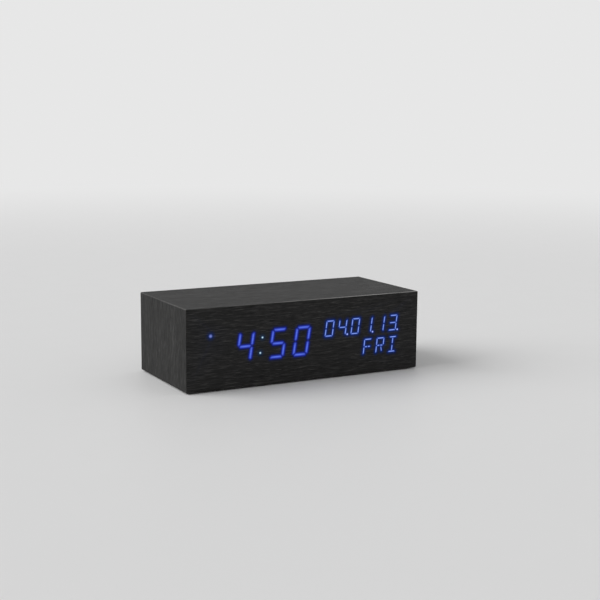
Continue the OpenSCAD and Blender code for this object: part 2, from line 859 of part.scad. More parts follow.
// Socket whose slot opens towards the other board
module ribbon_socket(y, toward, z) {
    body = [ribbon_w + 2 * socket_end, socket_l, socket_h];
    slot = [ribbon_w + 2 * ribbon_fit, socket_slot, ribbon_t + 2 * ribbon_fit];
    difference() {
        translate([ribbon_x, y + toward * socket_l / 2, z]) cube(body, center = true);
        translate([ribbon_x, y + toward * (socket_l - socket_slot / 2 + over / 2), z])
            cube(slot + [0, over, 0], center = true);
    }
}

module ribbon_sockets() {
    color("ivory") {
        ribbon_socket(display_board_y, 1, ribbon_z[0]);
        ribbon_socket(main_front_y, -1, ribbon_z[1]);
    }
}

// Main board and what is on it

module main_board() {
    color(CIRCUIT_GREEN) difference() {
        box([main_x, main_front_y, mid_z - main_h / 2], [main_x + main_w, main_back_y, mid_z + main_h / 2]);
        for (x = main_hole_x, z = [-1, 1])
            rod([x, main_front_y - over, mid_z + z * main_hole_z],
                main_screw[0] + 4 * screw_fit, circuit_t + 2 * over);
    }
}

module main_board_screws() {
    color(STEEL) for (x = main_hole_x, z = [-1, 1])
        translate([x, main_front_y, mid_z + z * main_hole_z]) rotate([90, 0, 0]) screw(main_screw);
}

module control_chip() {
    chip = [12, 1.6, 12];
    at = [main_x + chip_at, mid_z - chip_drop];
    color(BLACK_PLASTIC) box([at[0] - chip[0] / 2, main_front_y - chip[1], at[1] - chip[2] / 2],
                             [at[0] + chip[0] / 2, main_front_y, at[1] + chip[2] / 2]);
}

module crystal() {
    can = [10.5, 3.6, 4.4];
    at = [main_x + crystal_at, main_front_y, mid_z - chip_drop];
    color(STEEL) {
        rod([at[0] - (can[0] - can[2]) / 2, at[1] - can[1], at[2]], can[2], can[1]);
        rod([at[0] + (can[0] - can[2]) / 2, at[1] - can[1], at[2]], can[2], can[1]);
        box([at[0] - (can[0] - can[2]) / 2, at[1] - can[1], at[2] - can[2] / 2],
            [at[0] + (can[0] - can[2]) / 2, at[1], at[2] + can[2] / 2]);
    }
}

module capacitors() {
    can = [6.3, 7.7];
    pitch = 9;
    color("darkslateblue") for (k = [0, 1])
        rod([main_x + capacitor_at + k * pitch, main_front_y - can[1], mid_z - chip_drop / 2],
            can[0], can[1]);
}

module tact_switches() {
    color(BLACK_PLASTIC) for (x = button_x)
        difference() {
            box([x - tact_s / 2, main_back_y, mid_z + button_z - tact_s / 2],
                [x + tact_s / 2, main_back_y + tact_h, mid_z + button_z + tact_s / 2]);
            rod([x, main_back_y + tact_floor, mid_z + button_z], plunger_d + 2 * plunger_fit, tact_h);
        }
}

plunger_top_y = main_back_y + tact_h + plunger_out;

module button_plunger(i) {
    color("ivory") rod([button_x[i], plunger_top_y - plunger_l, mid_z + button_z], plunger_d, plunger_l);
}

// Cap with a stem on the plunger, a flange behind the panel and a chamfered face
module button_cap(i) {
    chamfer = 0.5;
    flange_y = panel_in_y - flange_gap - flange_t - plunger_top_y;
    top_y = panel_out_y + button_proud - plunger_top_y;
    color(BLACK_PLASTIC) translate([button_x[i], plunger_top_y, mid_z + button_z])
        rotate([-90, 0, 0]) rotate_extrude() polygon([
            [0, 0], [stem_d / 2, 0], [stem_d / 2, flange_y], [flange_d / 2, flange_y],
            [flange_d / 2, flange_y + flange_t], [button_d / 2, flange_y + flange_t],
            [button_d / 2, top_y - chamfer], [button_d / 2 - chamfer, top_y],
            [button_d / 4, top_y], [0, top_y - chamfer / 2]
        ]);
}

// Sound switch: it rests at one end of its travel
knob_x = switch_x - switch_travel / 2;
lever_y = main_back_y + switch_body[1] + switch_lever_out;

module sound_switch_body() {
    slot = [switch_lever_s + switch_travel + 4 * plunger_fit, 2, switch_lever_s + 2 * plunger_fit];
    color(STEEL) difference() {
        box([switch_x - switch_body[0] / 2, main_back_y, lower_row_z - switch_body[2] / 2],
            [switch_x + switch_body[0] / 2, main_back_y + switch_body[1], lower_row_z + switch_body[2] / 2]);
        translate([switch_x, main_back_y + switch_body[1], lower_row_z])
            cube([slot[0], 2 * slot[1], slot[2]], center = true);
    }
}

module sound_switch_lever() {
    sunk = 1.8;
    color("ivory")
        box([knob_x - switch_lever_s / 2, main_back_y + switch_body[1] - sunk,
             lower_row_z - switch_lever_s / 2],
            [knob_x + switch_lever_s / 2, lever_y, lower_row_z + switch_lever_s / 2]);
}

// Knob with a ribbed nub in the slot, a shoe behind the panel and a fork over the lever
module sound_switch_knob() {
    shoe_y = panel_in_y - flange_gap - switch_shoe[2];
    fork_y = main_back_y + switch_body[1] + fork_gap;
    fork_s = switch_lever_s + 2 * fork_wall;
    groove = 0.6;
    nub_y = panel_out_y + switch_nub[2];
    color(BLACK_PLASTIC) difference() {
        union() {
            box([knob_x - switch_nub[0] / 2, shoe_y, lower_row_z - switch_nub[1] / 2],
                [knob_x + switch_nub[0] / 2, nub_y, lower_row_z + switch_nub[1] / 2]);
            box([knob_x - switch_shoe[0] / 2, shoe_y, lower_row_z - switch_shoe[1] / 2],
                [knob_x + switch_shoe[0] / 2, shoe_y + switch_shoe[2], lower_row_z + switch_shoe[1] / 2]);
            box([knob_x - fork_s / 2, fork_y, lower_row_z - fork_s / 2],
                [knob_x + fork_s / 2, shoe_y, lower_row_z + fork_s / 2]);
        }
        translate([knob_x, fork_y, lower_row_z])
            cube([switch_lever_s + 2 * fork_fit, 2 * (lever_y - fork_y + fork_fit),
                  switch_lever_s + 2 * fork_fit], center = true);
        for (k = [-1, 0, 1])
            translate([knob_x + 2 * k * groove, nub_y, lower_row_z])
                cube([groove, groove, switch_nub[1] + over], center = true);
    }
}

module power_jack_housing() {
    mouth_l = standoff + panel_t;
    color(BLACK_PLASTIC) difference() {
        union() {
            box([jack_x - jack_s / 2, main_back_y, lower_row_z - jack_s / 2],
                [jack_x + jack_s / 2, main_back_y + jack_base_h, lower_row_z + jack_s / 2]);
            rod([jack_x, main_back_y, lower_row_z], jack_nose_d, mouth_l);
        }
        rod([jack_x, main_back_y + jack_floor, lower_row_z], jack_bore_d, mouth_l);
        rod([jack_x, main_back_y - over, lower_row_z],
            jack_pin_d + 2 * jack_root_step + 2 * seat_fit, mouth_l);
    }
}

// Centre pin with a wider root in the floor of the housing and a rounded tip
module power_jack_pin() {
    r = jack_pin_d / 2;
    tip_l = standoff + panel_t - jack_pin_setback;
    color("gold") translate([jack_x, main_back_y, lower_row_z]) rotate([-90, 0, 0])
        rotate_extrude() polygon([
            [0, 0], [r + jack_root_step, 0], [r + jack_root_step, jack_floor], [r, jack_floor],
            [r, tip_l - r / 2], [r / 2, tip_l], [0, tip_l]
        ]);
}

module sounder() {
    port = [2.2, 3];
    color(BLACK_PLASTIC) difference() {
        rod([main_x + sounder_at, main_back_y, lower_row_z], sounder_d, sounder_h);
        rod([main_x + sounder_at, main_back_y + sounder_h - port[1], lower_row_z], port[0], port[1] + over);
    }
}

module microphone() {
    color(STEEL) rod([main_x + mic_at, main_back_y, lower_row_z], mic_d, mic_h);
}

module microphone_boot() {
    color(RUBBER) difference() {
        rod([main_x + mic_at, main_back_y, lower_row_z], mic_boot_d, standoff);
        rod([main_x + mic_at, main_back_y - over, lower_row_z],
            mic_d + 2 * seat_fit, mic_h + over + seat_fit);
        rod([main_x + mic_at, main_back_y, lower_row_z], mic_d / 2, standoff + over);
    }
}

// Battery bay

function cell_z(i) = mid_z + (i - (cell_count - 1) / 2) * cell_pitch;
// Which end of the bay a cell's flat end faces
function flat_end(i) = i % 2 == 0 ? -1 : 1;
bay_half = bay_l / 2;

module battery_tray() {
    rib_x = bay_l / 4;
    rib_t = 1.5;
    rib_drop = 1;
    color(BLACK_PLASTIC) {
        difference() {
            union() {
                box([bay_x - bay_half - tray_wall, tray_floor_y - tray_wall, mid_z - bay_h / 2 - tray_wall],
                    [bay_x + bay_half + tray_wall, panel_in_y, mid_z + bay_h / 2 + tray_wall]);
                translate([bay_x, panel_in_y - tray_rim_t / 2, mid_z])
                    cube([door_w + 2 * tray_rim, tray_rim_t, door_h + 2 * tray_rim], center = true);
            }
            box([bay_x - bay_half, tray_floor_y, mid_z - bay_h / 2],
                [bay_x + bay_half, panel_in_y + over, mid_z + bay_h / 2]);
        }
        difference() {
            for (side = [-1, 1])
                box([bay_x + side * rib_x - rib_t / 2, tray_floor_y, mid_z - bay_h / 2],
                    [bay_x + side * rib_x + rib_t / 2, cell_y - rib_drop, mid_z + bay_h / 2]);
            for (i = [0:cell_count - 1])
                cross_rod([bay_x - bay_half, cell_y, cell_z(i)], cell_d + 2 * cell_fit, bay_l);
        }
    }
}

module battery_cells() {
    color("slategray") for (i = [0:cell_count - 1])
        translate([bay_x + flat_end(i) * (bay_half - contact_t - spring_l), cell_y, cell_z(i)])
            rotate([0, -90 * flat_end(i), 0]) {
                cylinder(d = cell_d, h = cell_l - cap_l);
                cylinder(d = cap_d, h = cell_l);
            }
}

module contact_plates() {
    color(STEEL) for (i = [0:cell_count - 1], side = [-1, 1])
        translate([bay_x + side * (bay_half - contact_t / 2), cell_y, cell_z(i)])
            cube([contact_t, contact_s, contact_s], center = true);
}

// Points of a tapered coil along X, from a plate to the flat end of a cell
coil_rings = 8;
coil_points = [for (k = [0:spring_turns * coil_rings])
    let (s = k / (spring_turns * coil_rings), r = spring_r[0] + (spring_r[1] - spring_r[0]) * s,
         a = 360 * k / coil_rings)
    [spring_wire_d / 2 + (spring_l - spring_wire_d) * s, r * cos(a), r * sin(a)]];
coil_gap = min([for (i = [0:len(coil_points) - 1]) for (j = [i + coil_rings / 2:1:len(coil_points) - 1])
    norm(coil_points[i] - coil_points[j])]) - spring_wire_d;
echo("least gap between the turns of a contact spring", coil_gap);

module contact_springs() {
    color(STEEL) for (i = [0:cell_count - 1])
        translate([bay_x + flat_end(i) * (bay_half - contact_t), cell_y, cell_z(i)])
            rotate([0, 0, flat_end(i) < 0 ? 0 : 180]) wire(coil_points, spring_wire_d, 6, [1, 0, 0]);
}

// Leads that bow forward from the floor of the tray to the front of the main board
function curve(p, t) =
    pow(1 - t, 3) * p[0] + 3 * t * pow(1 - t, 2) * p[1] + 3 * t * t * (1 - t) * p[2] + pow(t, 3) * p[3];

module lead(z, pad_z) {
    start = [bay_x + bay_half - lead_in, tray_floor_y - tray_wall, z];
    pad = [main_x + lead_at, main_front_y, pad_z];
    out = [0, -lead_d, 0];
    way = [start + out, start - [0, lead_bow, 0], pad - [0, lead_bow, 0], pad + out];
    wire(concat([start], [for (i = [0:14]) curve(way, i / 14)], [pad]), lead_d, 8);
}

module battery_leads() {
    color("firebrick") lead(cell_z(cell_count - 1), mid_z + lead_spread);
    color("black") lead(cell_z(0), mid_z - lead_spread);
}

// Pin along the hinge of the door, from a given reach into the panel on each side
module hinge_pin(d, reach) {
    cross_rod([bay_x - door_w / 2 - reach, hinge_y, hinge_z], d, door_w + 2 * reach);
}

// Plate with a rounded hinge edge, hinge pins, and a latch that bends between two slits
module battery_door() {
    latch_top = mid_z + door_h / 2;
    grip = [8, 0.5, 0.8];
    color(BLACK_PLASTIC) {
        difference() {
            translate([bay_x - door_w / 2, 0, 0]) rotate([90, 0, 90]) linear_extrude(door_w) {
                translate([panel_in_y, hinge_z]) square([panel_t, latch_top - hinge_z]);
                translate([hinge_y, hinge_z]) circle(d = panel_t);
            }
            for (side = [-1, 1])
                translate([bay_x + side * (latch_w + latch_slit) / 2, hinge_y, latch_top])
                    cube([latch_slit, panel_t + over, 2 * latch_l], center = true);
        }
        hinge_pin(hinge_pin_d, door_fit + hinge_pin_in);
        box([bay_x - grip[0] / 2, panel_out_y - latch_nib_in, latch_top - latch_nib_in],
            [bay_x + grip[0] / 2, panel_out_y, latch_top + latch_nib]);
        for (k = [1:3]) {
            z = latch_top - latch_nib_in - 2 * k * grip[2];
            box([bay_x - grip[0] / 2, panel_out_y - grip[1], z],
                [bay_x + grip[0] / 2, panel_out_y + grip[1], z + grip[2]]);
        }
    }
}

top_board();
base_board();
end_board(-1);  // left_end_board
end_board(1);  // right_end_board
front_panel();
face_veneer();
corner_blocks();
feet();
rear_panel();
rear_panel_screws();
display_board();
display_board_screws();
driver_chips();
led_chips();
time_reflector();
time_light_bars();
calendar_reflector();
calendar_light_bars();
lit_time_digits();
lit_dots();
lit_date_digits();
lit_weekday_letters();
ribbon_cable();
ribbon_sockets();
main_board();
main_board_screws();
control_chip();
crystal();
capacitors();
tact_switches();
sound_switch_body();
power_jack_housing();
power_jack_pin();
sounder();
microphone();
microphone_boot();
battery_tray();
battery_cells();
contact_plates();
contact_springs();
battery_leads();
button_cap(0);  // set_button_cap
button_plunger(0);  // set_button_plunger
button_cap(1);  // up_button_cap
button_plunger(1);  // up_button_plunger
button_cap(2);  // down_button_cap
button_plunger(2);  // down_button_plunger
button_cap(3);  // alarm_button_cap
button_plunger(3);  // alarm_button_plunger
sound_switch_knob();
sound_switch_lever();
battery_door();
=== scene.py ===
import json
import math

import bmesh
import bpy
import numpy as np
from mathutils import Matrix, Vector
from mathutils.geometry import convex_hull_2d, delaunay_2d_cdt


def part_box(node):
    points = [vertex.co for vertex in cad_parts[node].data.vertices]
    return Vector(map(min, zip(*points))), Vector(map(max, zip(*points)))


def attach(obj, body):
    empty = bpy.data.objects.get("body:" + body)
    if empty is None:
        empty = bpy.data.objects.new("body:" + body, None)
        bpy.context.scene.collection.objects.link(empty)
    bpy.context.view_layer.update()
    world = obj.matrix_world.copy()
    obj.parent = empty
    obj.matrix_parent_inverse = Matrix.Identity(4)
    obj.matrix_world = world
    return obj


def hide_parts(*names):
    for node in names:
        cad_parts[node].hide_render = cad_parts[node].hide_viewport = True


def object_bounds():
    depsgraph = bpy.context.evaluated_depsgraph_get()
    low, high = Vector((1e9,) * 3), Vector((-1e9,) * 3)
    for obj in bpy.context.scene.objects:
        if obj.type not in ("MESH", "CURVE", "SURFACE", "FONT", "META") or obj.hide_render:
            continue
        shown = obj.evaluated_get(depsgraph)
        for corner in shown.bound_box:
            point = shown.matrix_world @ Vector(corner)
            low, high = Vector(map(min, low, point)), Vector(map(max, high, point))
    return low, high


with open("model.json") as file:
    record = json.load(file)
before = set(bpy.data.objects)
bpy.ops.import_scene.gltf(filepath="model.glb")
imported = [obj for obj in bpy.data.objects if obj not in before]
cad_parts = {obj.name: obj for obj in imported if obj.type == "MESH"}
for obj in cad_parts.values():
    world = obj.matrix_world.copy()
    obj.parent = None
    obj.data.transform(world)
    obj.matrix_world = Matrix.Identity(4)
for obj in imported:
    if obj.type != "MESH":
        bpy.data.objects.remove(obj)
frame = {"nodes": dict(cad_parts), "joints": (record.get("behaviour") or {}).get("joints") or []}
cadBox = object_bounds()
nodes = frame["nodes"]
scene = bpy.context.scene
mm = 0.001


# camera: low, from the left of the face
cameraCard = {
    "place": (-0.4422, -0.8403, 0.2150),  # metres
    "azimuth": -28.73,  # degrees round the case, 0 is straight at the face
    "elevation": 9.33,
    "roll": 0.47,
    "lens": 69.65,  # millimetres, as the sensor
    "sensor": 36.0,
    "clip": (0.02, 200.0),
}


def placeCamera(card):
    azimuth, elevation, roll = (math.radians(card[key]) for key in ("azimuth", "elevation", "roll"))
    back = Vector((math.sin(azimuth) * math.cos(elevation),
                   -math.cos(azimuth) * math.cos(elevation),
                   math.sin(elevation)))
    right = Vector((0, 0, 1)).cross(back).normalized()
    up = back.cross(right)
    rolledRight = right * math.cos(roll) + up * math.sin(roll)
    rolledUp = up * math.cos(roll) - right * math.sin(roll)
    data = bpy.data.cameras.new("photoCamera")
    data.lens = card["lens"]
    data.sensor_width = card["sensor"]
    data.clip_start, data.clip_end = card["clip"]
    camera = bpy.data.objects.new("photoCamera", data)
    camera.matrix_world = (Matrix.Translation(card["place"])
                           @ Matrix((rolledRight, rolledUp, back)).transposed().to_4x4())
    scene.collection.objects.link(camera)
    scene.camera = camera


placeCamera(cameraCard)
print("camera placed")


# small helpers for shader nodes
noiseSpan = (0.3, 0.7)  # where most values of a noise lie


def newFinish(name):
    mat = bpy.data.materials.new(name)
    mat.use_nodes = True
    return mat, mat.node_tree, mat.node_tree.nodes["Principled BSDF"]


def addNode(tree, kind, settings=None, inputs=None):
    node = tree.nodes.new(kind)
    for key, value in (settings or {}).items():
        setattr(node, key, value)
    for key, value in (inputs or {}).items():
        feed(tree, node.inputs[key], value)
    return node


def feed(tree, socket, value):
    if isinstance(value, bpy.types.NodeSocket):
        tree.links.new(value, socket)
    elif hasattr(value, "__len__") and socket.type == "RGBA":
        socket.default_value = tuple(value[:3]) + (1.0,)
    else:
        socket.default_value = value


def dress(tree, shader, **inputs):
    # baseColor=... feeds the socket named Base Color, and so on
    for key, value in inputs.items():
        words = "".join(" " + letter if letter.isupper() else letter for letter in key).title()
        feed(tree, shader.inputs[words.replace("Ior", "IOR")], value)


def objectPlace(tree):
    return addNode(tree, "ShaderNodeTexCoord").outputs["Object"]


def stretched(tree, scale):
    return addNode(tree, "ShaderNodeMapping", None, {
        "Vector": objectPlace(tree), "Scale": scale}).outputs["Vector"]


def noiseOf(tree, place, scale=1.0, detail=2.0, rough=0.5):
    return addNode(tree, "ShaderNodeTexNoise", None, {
        "Vector": place, "Scale": scale, "Detail": detail, "Roughness": rough}).outputs[0]


def rangeOf(tree, value, fromLow, fromHigh, toLow, toHigh):
    return addNode(tree, "ShaderNodeMapRange", None, {
        "Value": value, "From Min": fromLow, "From Max": fromHigh,
        "To Min": toLow, "To Max": toHigh}).outputs["Result"]


def spanOf(tree, noise, low, high):
    return rangeOf(tree, noise, *noiseSpan, low, high)


def rampOf(tree, factor, stops):
    node = addNode(tree, "ShaderNodeValToRGB", None, {"Fac": factor})
    elements = node.color_ramp.elements
    while len(elements) < len(stops):
        elements.new(0.5)  # placed below
    for element, (spot, colour) in zip(elements, stops):
        element.position = spot
        element.color = tuple(colour) + (1.0,)
    return node.outputs["Color"]


def mathOf(tree, operation, first, second=0.0):
    node = addNode(tree, "ShaderNodeMath", {"operation": operation})
    feed(tree, node.inputs[0], first)
    feed(tree, node.inputs[1], second)
    return node.outputs[0]


def timesOf(tree, first, second):
    return mathOf(tree, "MULTIPLY", first, second)


def mixOf(tree, blend, factor, first, second):
    # inputs 6 and 7 and output 2 are the node's own for colours
    node = addNode(tree, "ShaderNodeMix", {"data_type": "RGBA", "blend_type": blend})
    feed(tree, node.inputs[0], factor)
    feed(tree, node.inputs[6], first)
    feed(tree, node.inputs[7], second)
    return node.outputs[2]


def scaleOf(tree, colour, factor):
    return addNode(tree, "ShaderNodeVectorMath", {"operation": "SCALE"}, {
        0: colour, "Scale": factor}).outputs[0]


def bumpOf(tree, height, depth, strength):
    return addNode(tree, "ShaderNodeBump", None, {
        "Height": height, "Distance": depth, "Strength": strength}).outputs["Normal"]


def partsOf(tree, vector):
    return addNode(tree, "ShaderNodeSeparateXYZ", None, {"Vector": vector}).outputs


def facing(tree):
    return partsOf(tree, addNode(tree, "ShaderNodeNewGeometry").outputs["Normal"])


def attributeOf(tree, name, output):
    return addNode(tree, "ShaderNodeAttribute", {"attribute_name": name}).outputs[output]


# black stained veneer: fine straight grain, light flecks and open pores
veneerCard = {
    "dark": (0.0132, 0.0130, 0.0129),
    "middle": (0.0202, 0.0199, 0.0195),
    "light": (0.0326, 0.0320, 0.0313),
    "stops": (0.30, 0.52, 0.74),  # noise at which the streaks have these three
    "fleck": (0.0860, 0.0843, 0.0826),
    "pore": (0.0020, 0.0020, 0.0020),
    "streaks": (38.0, 1250.0, 5.0, 0.62),  # to a metre along and across, detail, roughness
    "flecks": (115.0, 2050.0, 2.0, 0.5),
    "pores": (110.0, 2700.0, 2.0, 0.5),
    "fibres": (150.0, 5200.0, 3.0, 0.5),
    "tones": (3.0, 55.0, 4.0, 0.65),
    "fleckCut": (0.56, 0.72),  # noise from none to whole
    "poreCut": (0.57, 0.67),
    "fleckShare": 0.66,
    "poreShare": 0.85,
    "fibreSpan": (0.70, 1.30),
    "toneSpan": (0.83, 1.17),  # on the boards, then on the face
    "faceToneSpan": (0.95, 1.05),
    "roughness": (0.52, 0.68),  # on light and on dark streaks
    "specular": 0.115,
    "depth": 0.00007,
    "bump": 0.8,
    "heights": (0.6, 0.4),  # streaks and flecks, where a pore is 1 deep
}
# light colour of the rounded edges: a painted highlight on the face's edge, wear and painted highlight on
# the boards' edges
wearAndHighlightCard = {
    "colour": (0.7200, 0.7120, 0.7020),
    "paintedHighlightAlong": ((0.0, 0.10), (0.35, 0.35), (0.72, 1.0), (1.0, 0.9)),  # along the face, and how strong the painted highlight is there, brighter towards the right
    "upward": 0.4,  # how far an edge faces up where its painted highlight is full
    "boards": 0.25,  # share on the boards' own edges, as wear and painted highlight
    "patches": 14.0,  # to a metre
    "cut": (0.35, 0.65),  # noise from weakest to strongest wear and painted highlight
    "patchSpan": (0.55, 1.0),
    "streakSpan": (0.60, 1.0),
}
throughCard = {
    "strong": 0.06,  # blue light at which the wood shows least
    "woodLeft": 0.25,  # share of its own colour there
    "streakDim": (0.86, 1.10),  # light let through by dark and by light streaks
    "poreDim": 0.80,
}
paintCard = {
    "colour": (0.0140, 0.0140, 0.0145),  # on the boards' rear edges
    "rearward": (0.6, 0.8),  # how far a face turns to the rear, from bare to painted
    "speck": 900.0,
    "detail": 3.0,
    "span": (0.6, 1.0),
}


def grainOf(tree, grain, upright):
    along, across, detail, rough = grain
    scale = (across, across, along) if upright else (along, across, across)
    return noiseOf(tree, stretched(tree, scale), detail=detail, rough=rough)


def wearAndHighlightOf(tree, card, streaks, normal, lit):
    if lit:  # the face's own rounded edge: a painted highlight, strongest where it turns up and towards the right
        edgeWearAndHighlight = attributeOf(tree, "ease", "Fac")
        edgeWearAndHighlight = timesOf(tree, edgeWearAndHighlight, rangeOf(tree, normal[2], 0.0, card["upward"], 0.0, 1.0))
        along = rangeOf(tree, partsOf(tree, objectPlace(tree))[0], cadBox[0].x, cadBox[1].x, 0.0, 1.0)
        paintedHighlightAlong = rampOf(tree, along, [(spot, (much,) * 3) for spot, much in card["paintedHighlightAlong"]])
        edgeWearAndHighlight = timesOf(tree, edgeWearAndHighlight, paintedHighlightAlong)
    else:  # the edges between the top, the ends and the base: wear and painted highlight
        edgeWearAndHighlight = mathOf(tree, "ABSOLUTE", timesOf(tree, normal[0], normal[2]))
        edgeWearAndHighlight = timesOf(tree, edgeWearAndHighlight, card["boards"])
    patches = noiseOf(tree, objectPlace(tree), card["patches"])
    edgeWearAndHighlight = timesOf(tree, edgeWearAndHighlight, rangeOf(tree, patches, *card["cut"], *card["patchSpan"]))
    return timesOf(tree, edgeWearAndHighlight, rangeOf(tree, streaks, *card["cut"], *card["streakSpan"]))


def rearPaint(tree, card, wood, normal):
    speck = noiseOf(tree, objectPlace(tree), card["speck"], card["detail"])
    paint = mixOf(tree, "MULTIPLY", 1.0, card["colour"], spanOf(tree, speck, *card["span"]))
    return mixOf(tree, "MIX", rangeOf(tree, normal[1], *card["rearward"], 0.0, 1.0), wood, paint)


def veneerFinish(name, upright=False, lit=False):
    card = veneerCard
    mat, tree, shader = newFinish(name)
    normal = facing(tree)
    streaks, flecks, pores, fibres, tones = (
        grainOf(tree, card[key], upright) for key in ("streaks", "flecks", "pores", "fibres", "tones"))
    flecks = rangeOf(tree, flecks, *card["fleckCut"], 0.0, 1.0)
    pores = rangeOf(tree, pores, *card["poreCut"], 0.0, 1.0)
    tones = spanOf(tree, tones, *card["faceToneSpan" if lit else "toneSpan"])
    tones = timesOf(tree, tones, spanOf(tree, fibres, *card["fibreSpan"]))
    wood = rampOf(tree, streaks, list(zip(card["stops"], (card["dark"], card["middle"], card["light"]))))
    wood = mixOf(tree, "MIX", timesOf(tree, flecks, card["fleckShare"]), wood, card["fleck"])
    wood = mixOf(tree, "MIX", timesOf(tree, pores, card["poreShare"]), wood, card["pore"])
    if lit:
        through = throughCard
        shine = attributeOf(tree, "shine", "Color")
        blue = addNode(tree, "ShaderNodeSeparateColor", None, {"Color": shine}).outputs["Blue"]
        tones = timesOf(tree, tones, rangeOf(tree, blue, 0.0, through["strong"], 1.0, through["woodLeft"]))
        dim = timesOf(tree, spanOf(tree, streaks, *through["streakDim"]),
                      rangeOf(tree, pores, 0.0, 1.0, 1.0, through["poreDim"]))
        dress(tree, shader, emissionColor=scaleOf(tree, shine, dim), emissionStrength=1.0)
    wood = scaleOf(tree, wood, tones)
    # lighter rounded edges: painted highlight on the face's edge, wear and painted highlight on the boards'
    # edges
    wood = mixOf(tree, "MIX", wearAndHighlightOf(tree, wearAndHighlightCard, streaks, normal, lit), wood, wearAndHighlightCard["colour"])
    if not lit:
        wood = rearPaint(tree, paintCard, wood, normal)
    streakHeight, fleckHeight = card["heights"]
    height = mathOf(tree, "SUBTRACT", timesOf(tree, streaks, streakHeight), pores)
    height = mathOf(tree, "ADD", height, timesOf(tree, flecks, fleckHeight))
    smoother, rougher = card["roughness"]
    dress(tree, shader, baseColor=wood, roughness=spanOf(tree, streaks, rougher, smoother),
          specularIorLevel=card["specular"], normal=bumpOf(tree, height, card["depth"], card["bump"]))
    return mat


# moulded plastics, rubber, metals and the parts inside
mouldingCard = {
    "grainNoise": (3.0, 0.6),  # detail and roughness
    "cloudDetail": 2.0,
    "shares": (0.6, 0.4),  # of the fine grain and the clouds in the colour
    "stops": (0.32, 0.68),  # noise at the darker and the lighter colour
    "sums": (0.7, 1.3),  # both noises added up, from smoother to rougher
    "bump": 0.7,
}


def mouldedFinish(name, card):
    shared = mouldingCard
    mat, tree, shader = newFinish(name)
    grain = noiseOf(tree, objectPlace(tree), card["texture"], *shared["grainNoise"])
    cloud = noiseOf(tree, objectPlace(tree), card["clouds"], shared["cloudDetail"])
    grainShare, cloudShare = shared["shares"]
    blend = mathOf(tree, "ADD", timesOf(tree, grain, grainShare), timesOf(tree, cloud, cloudShare))
    rough = rangeOf(tree, mathOf(tree, "ADD", grain, cloud), *shared["sums"], *card["roughness"])
    dress(tree, shader, baseColor=rampOf(tree, blend, list(zip(shared["stops"], card["colours"]))),
          roughness=rough, specularIorLevel=card["specular"],
          normal=bumpOf(tree, grain, card["depth"], shared["bump"]))
    if card.get("metallic"):
        dress(tree, shader, metallic=card["metallic"])
    return mat


# texture and clouds to a metre, darker and lighter colour, smoothest and roughest, depth in metres
panelCard = {"texture": 2600.0, "clouds": 45.0, "colours": ((0.011, 0.0112, 0.0117), (0.028, 0.0282, 0.029)),
             "roughness": (0.42, 0.64), "specular": 0.32, "depth": 0.00009}
capCard = {"texture": 4200.0, "clouds": 120.0, "colours": ((0.017, 0.0172, 0.0178), (0.030, 0.0302, 0.0310)),
           "roughness": (0.28, 0.42), "specular": 0.40, "depth": 0.000012}
rubberCard = {"texture": 1500.0, "clouds": 160.0, "colours": ((0.01, 0.01, 0.01), (0.026, 0.0258, 0.0255)),
              "roughness": (0.75, 0.95), "specular": 0.20, "depth": 0.00005}
fibreCard = {"texture": 900.0, "clouds": 60.0, "colours": ((0.20, 0.125, 0.070), (0.34, 0.225, 0.130)),
             "roughness": (0.80, 0.95), "specular": 0.15, "depth": 0.00008}
whiteCard = {"texture": 1800.0, "clouds": 50.0, "colours": ((0.70, 0.70, 0.69), (0.82, 0.82, 0.81)),
             "roughness": (0.40, 0.55), "specular": 0.35, "depth": 0.00002}
milkyCard = {"texture": 1400.0, "clouds": 150.0, "colours": ((0.46, 0.52, 0.68), (0.62, 0.68, 0.80)),
             "roughness": (0.35, 0.50), "specular": 0.35, "depth": 0.00002}
blueCard = {"texture": 1400.0, "clouds": 150.0, "colours": ((0.010, 0.012, 0.45), (0.06, 0.09, 0.75)),
            "roughness": (0.40, 0.55), "specular": 0.25, "depth": 0.00002}
paleCard = {"texture": 1400.0, "clouds": 150.0, "colours": ((0.30, 0.36, 0.80), (0.50, 0.60, 0.95)),
            "roughness": (0.40, 0.55), "specular": 0.25, "depth": 0.00002}
chipCard = {"texture": 3800.0, "clouds": 180.0, "colours": ((0.009, 0.009, 0.0095), (0.024, 0.024, 0.025)),
            "roughness": (0.50, 0.70), "specular": 0.30, "depth": 0.00003}
lampCard = {"texture": 2600.0, "clouds": 700.0, "colours": ((0.62, 0.58, 0.30), (0.80, 0.76, 0.50)),
            "roughness": (0.25, 0.40), "specular": 0.45, "depth": 0.00001}
ivoryCard = {"texture": 1700.0, "clouds": 90.0, "colours": ((0.56, 0.52, 0.42), (0.70, 0.66, 0.56)),
             "roughness": (0.38, 0.55), "specular": 0.35, "depth": 0.00002}
greyCard = {"texture": 1700.0, "clouds": 90.0, "colours": ((0.24, 0.24, 0.25), (0.36, 0.36, 0.37)),
            "roughness": (0.45, 0.60), "specular": 0.30, "depth": 0.00002}
sleeveCard = {"texture": 1500.0, "clouds": 140.0, "colours": ((0.012, 0.016, 0.045), (0.024, 0.032, 0.085)),
              "roughness": (0.25, 0.40), "specular": 0.45, "depth": 0.00001}
jacketCard = {"texture": 2600.0, "clouds": 30.0, "colours": ((0.033, 0.078, 0.060), (0.040, 0.092, 0.071)),
              "roughness": (0.24, 0.32), "specular": 0.45, "depth": 0.000003}
inkCard = {"texture": 5000.0, "clouds": 300.0, "colours": ((0.42, 0.42, 0.41), (0.58, 0.58, 0.57)),
           "roughness": (0.50, 0.65), "specular": 0.25, "depth": 0.000005}
redCard = {"texture": 1700.0, "clouds": 90.0, "colours": ((0.26, 0.012, 0.010), (0.40, 0.030, 0.024)),
           "roughness": (0.35, 0.50), "specular": 0.40, "depth": 0.00001}
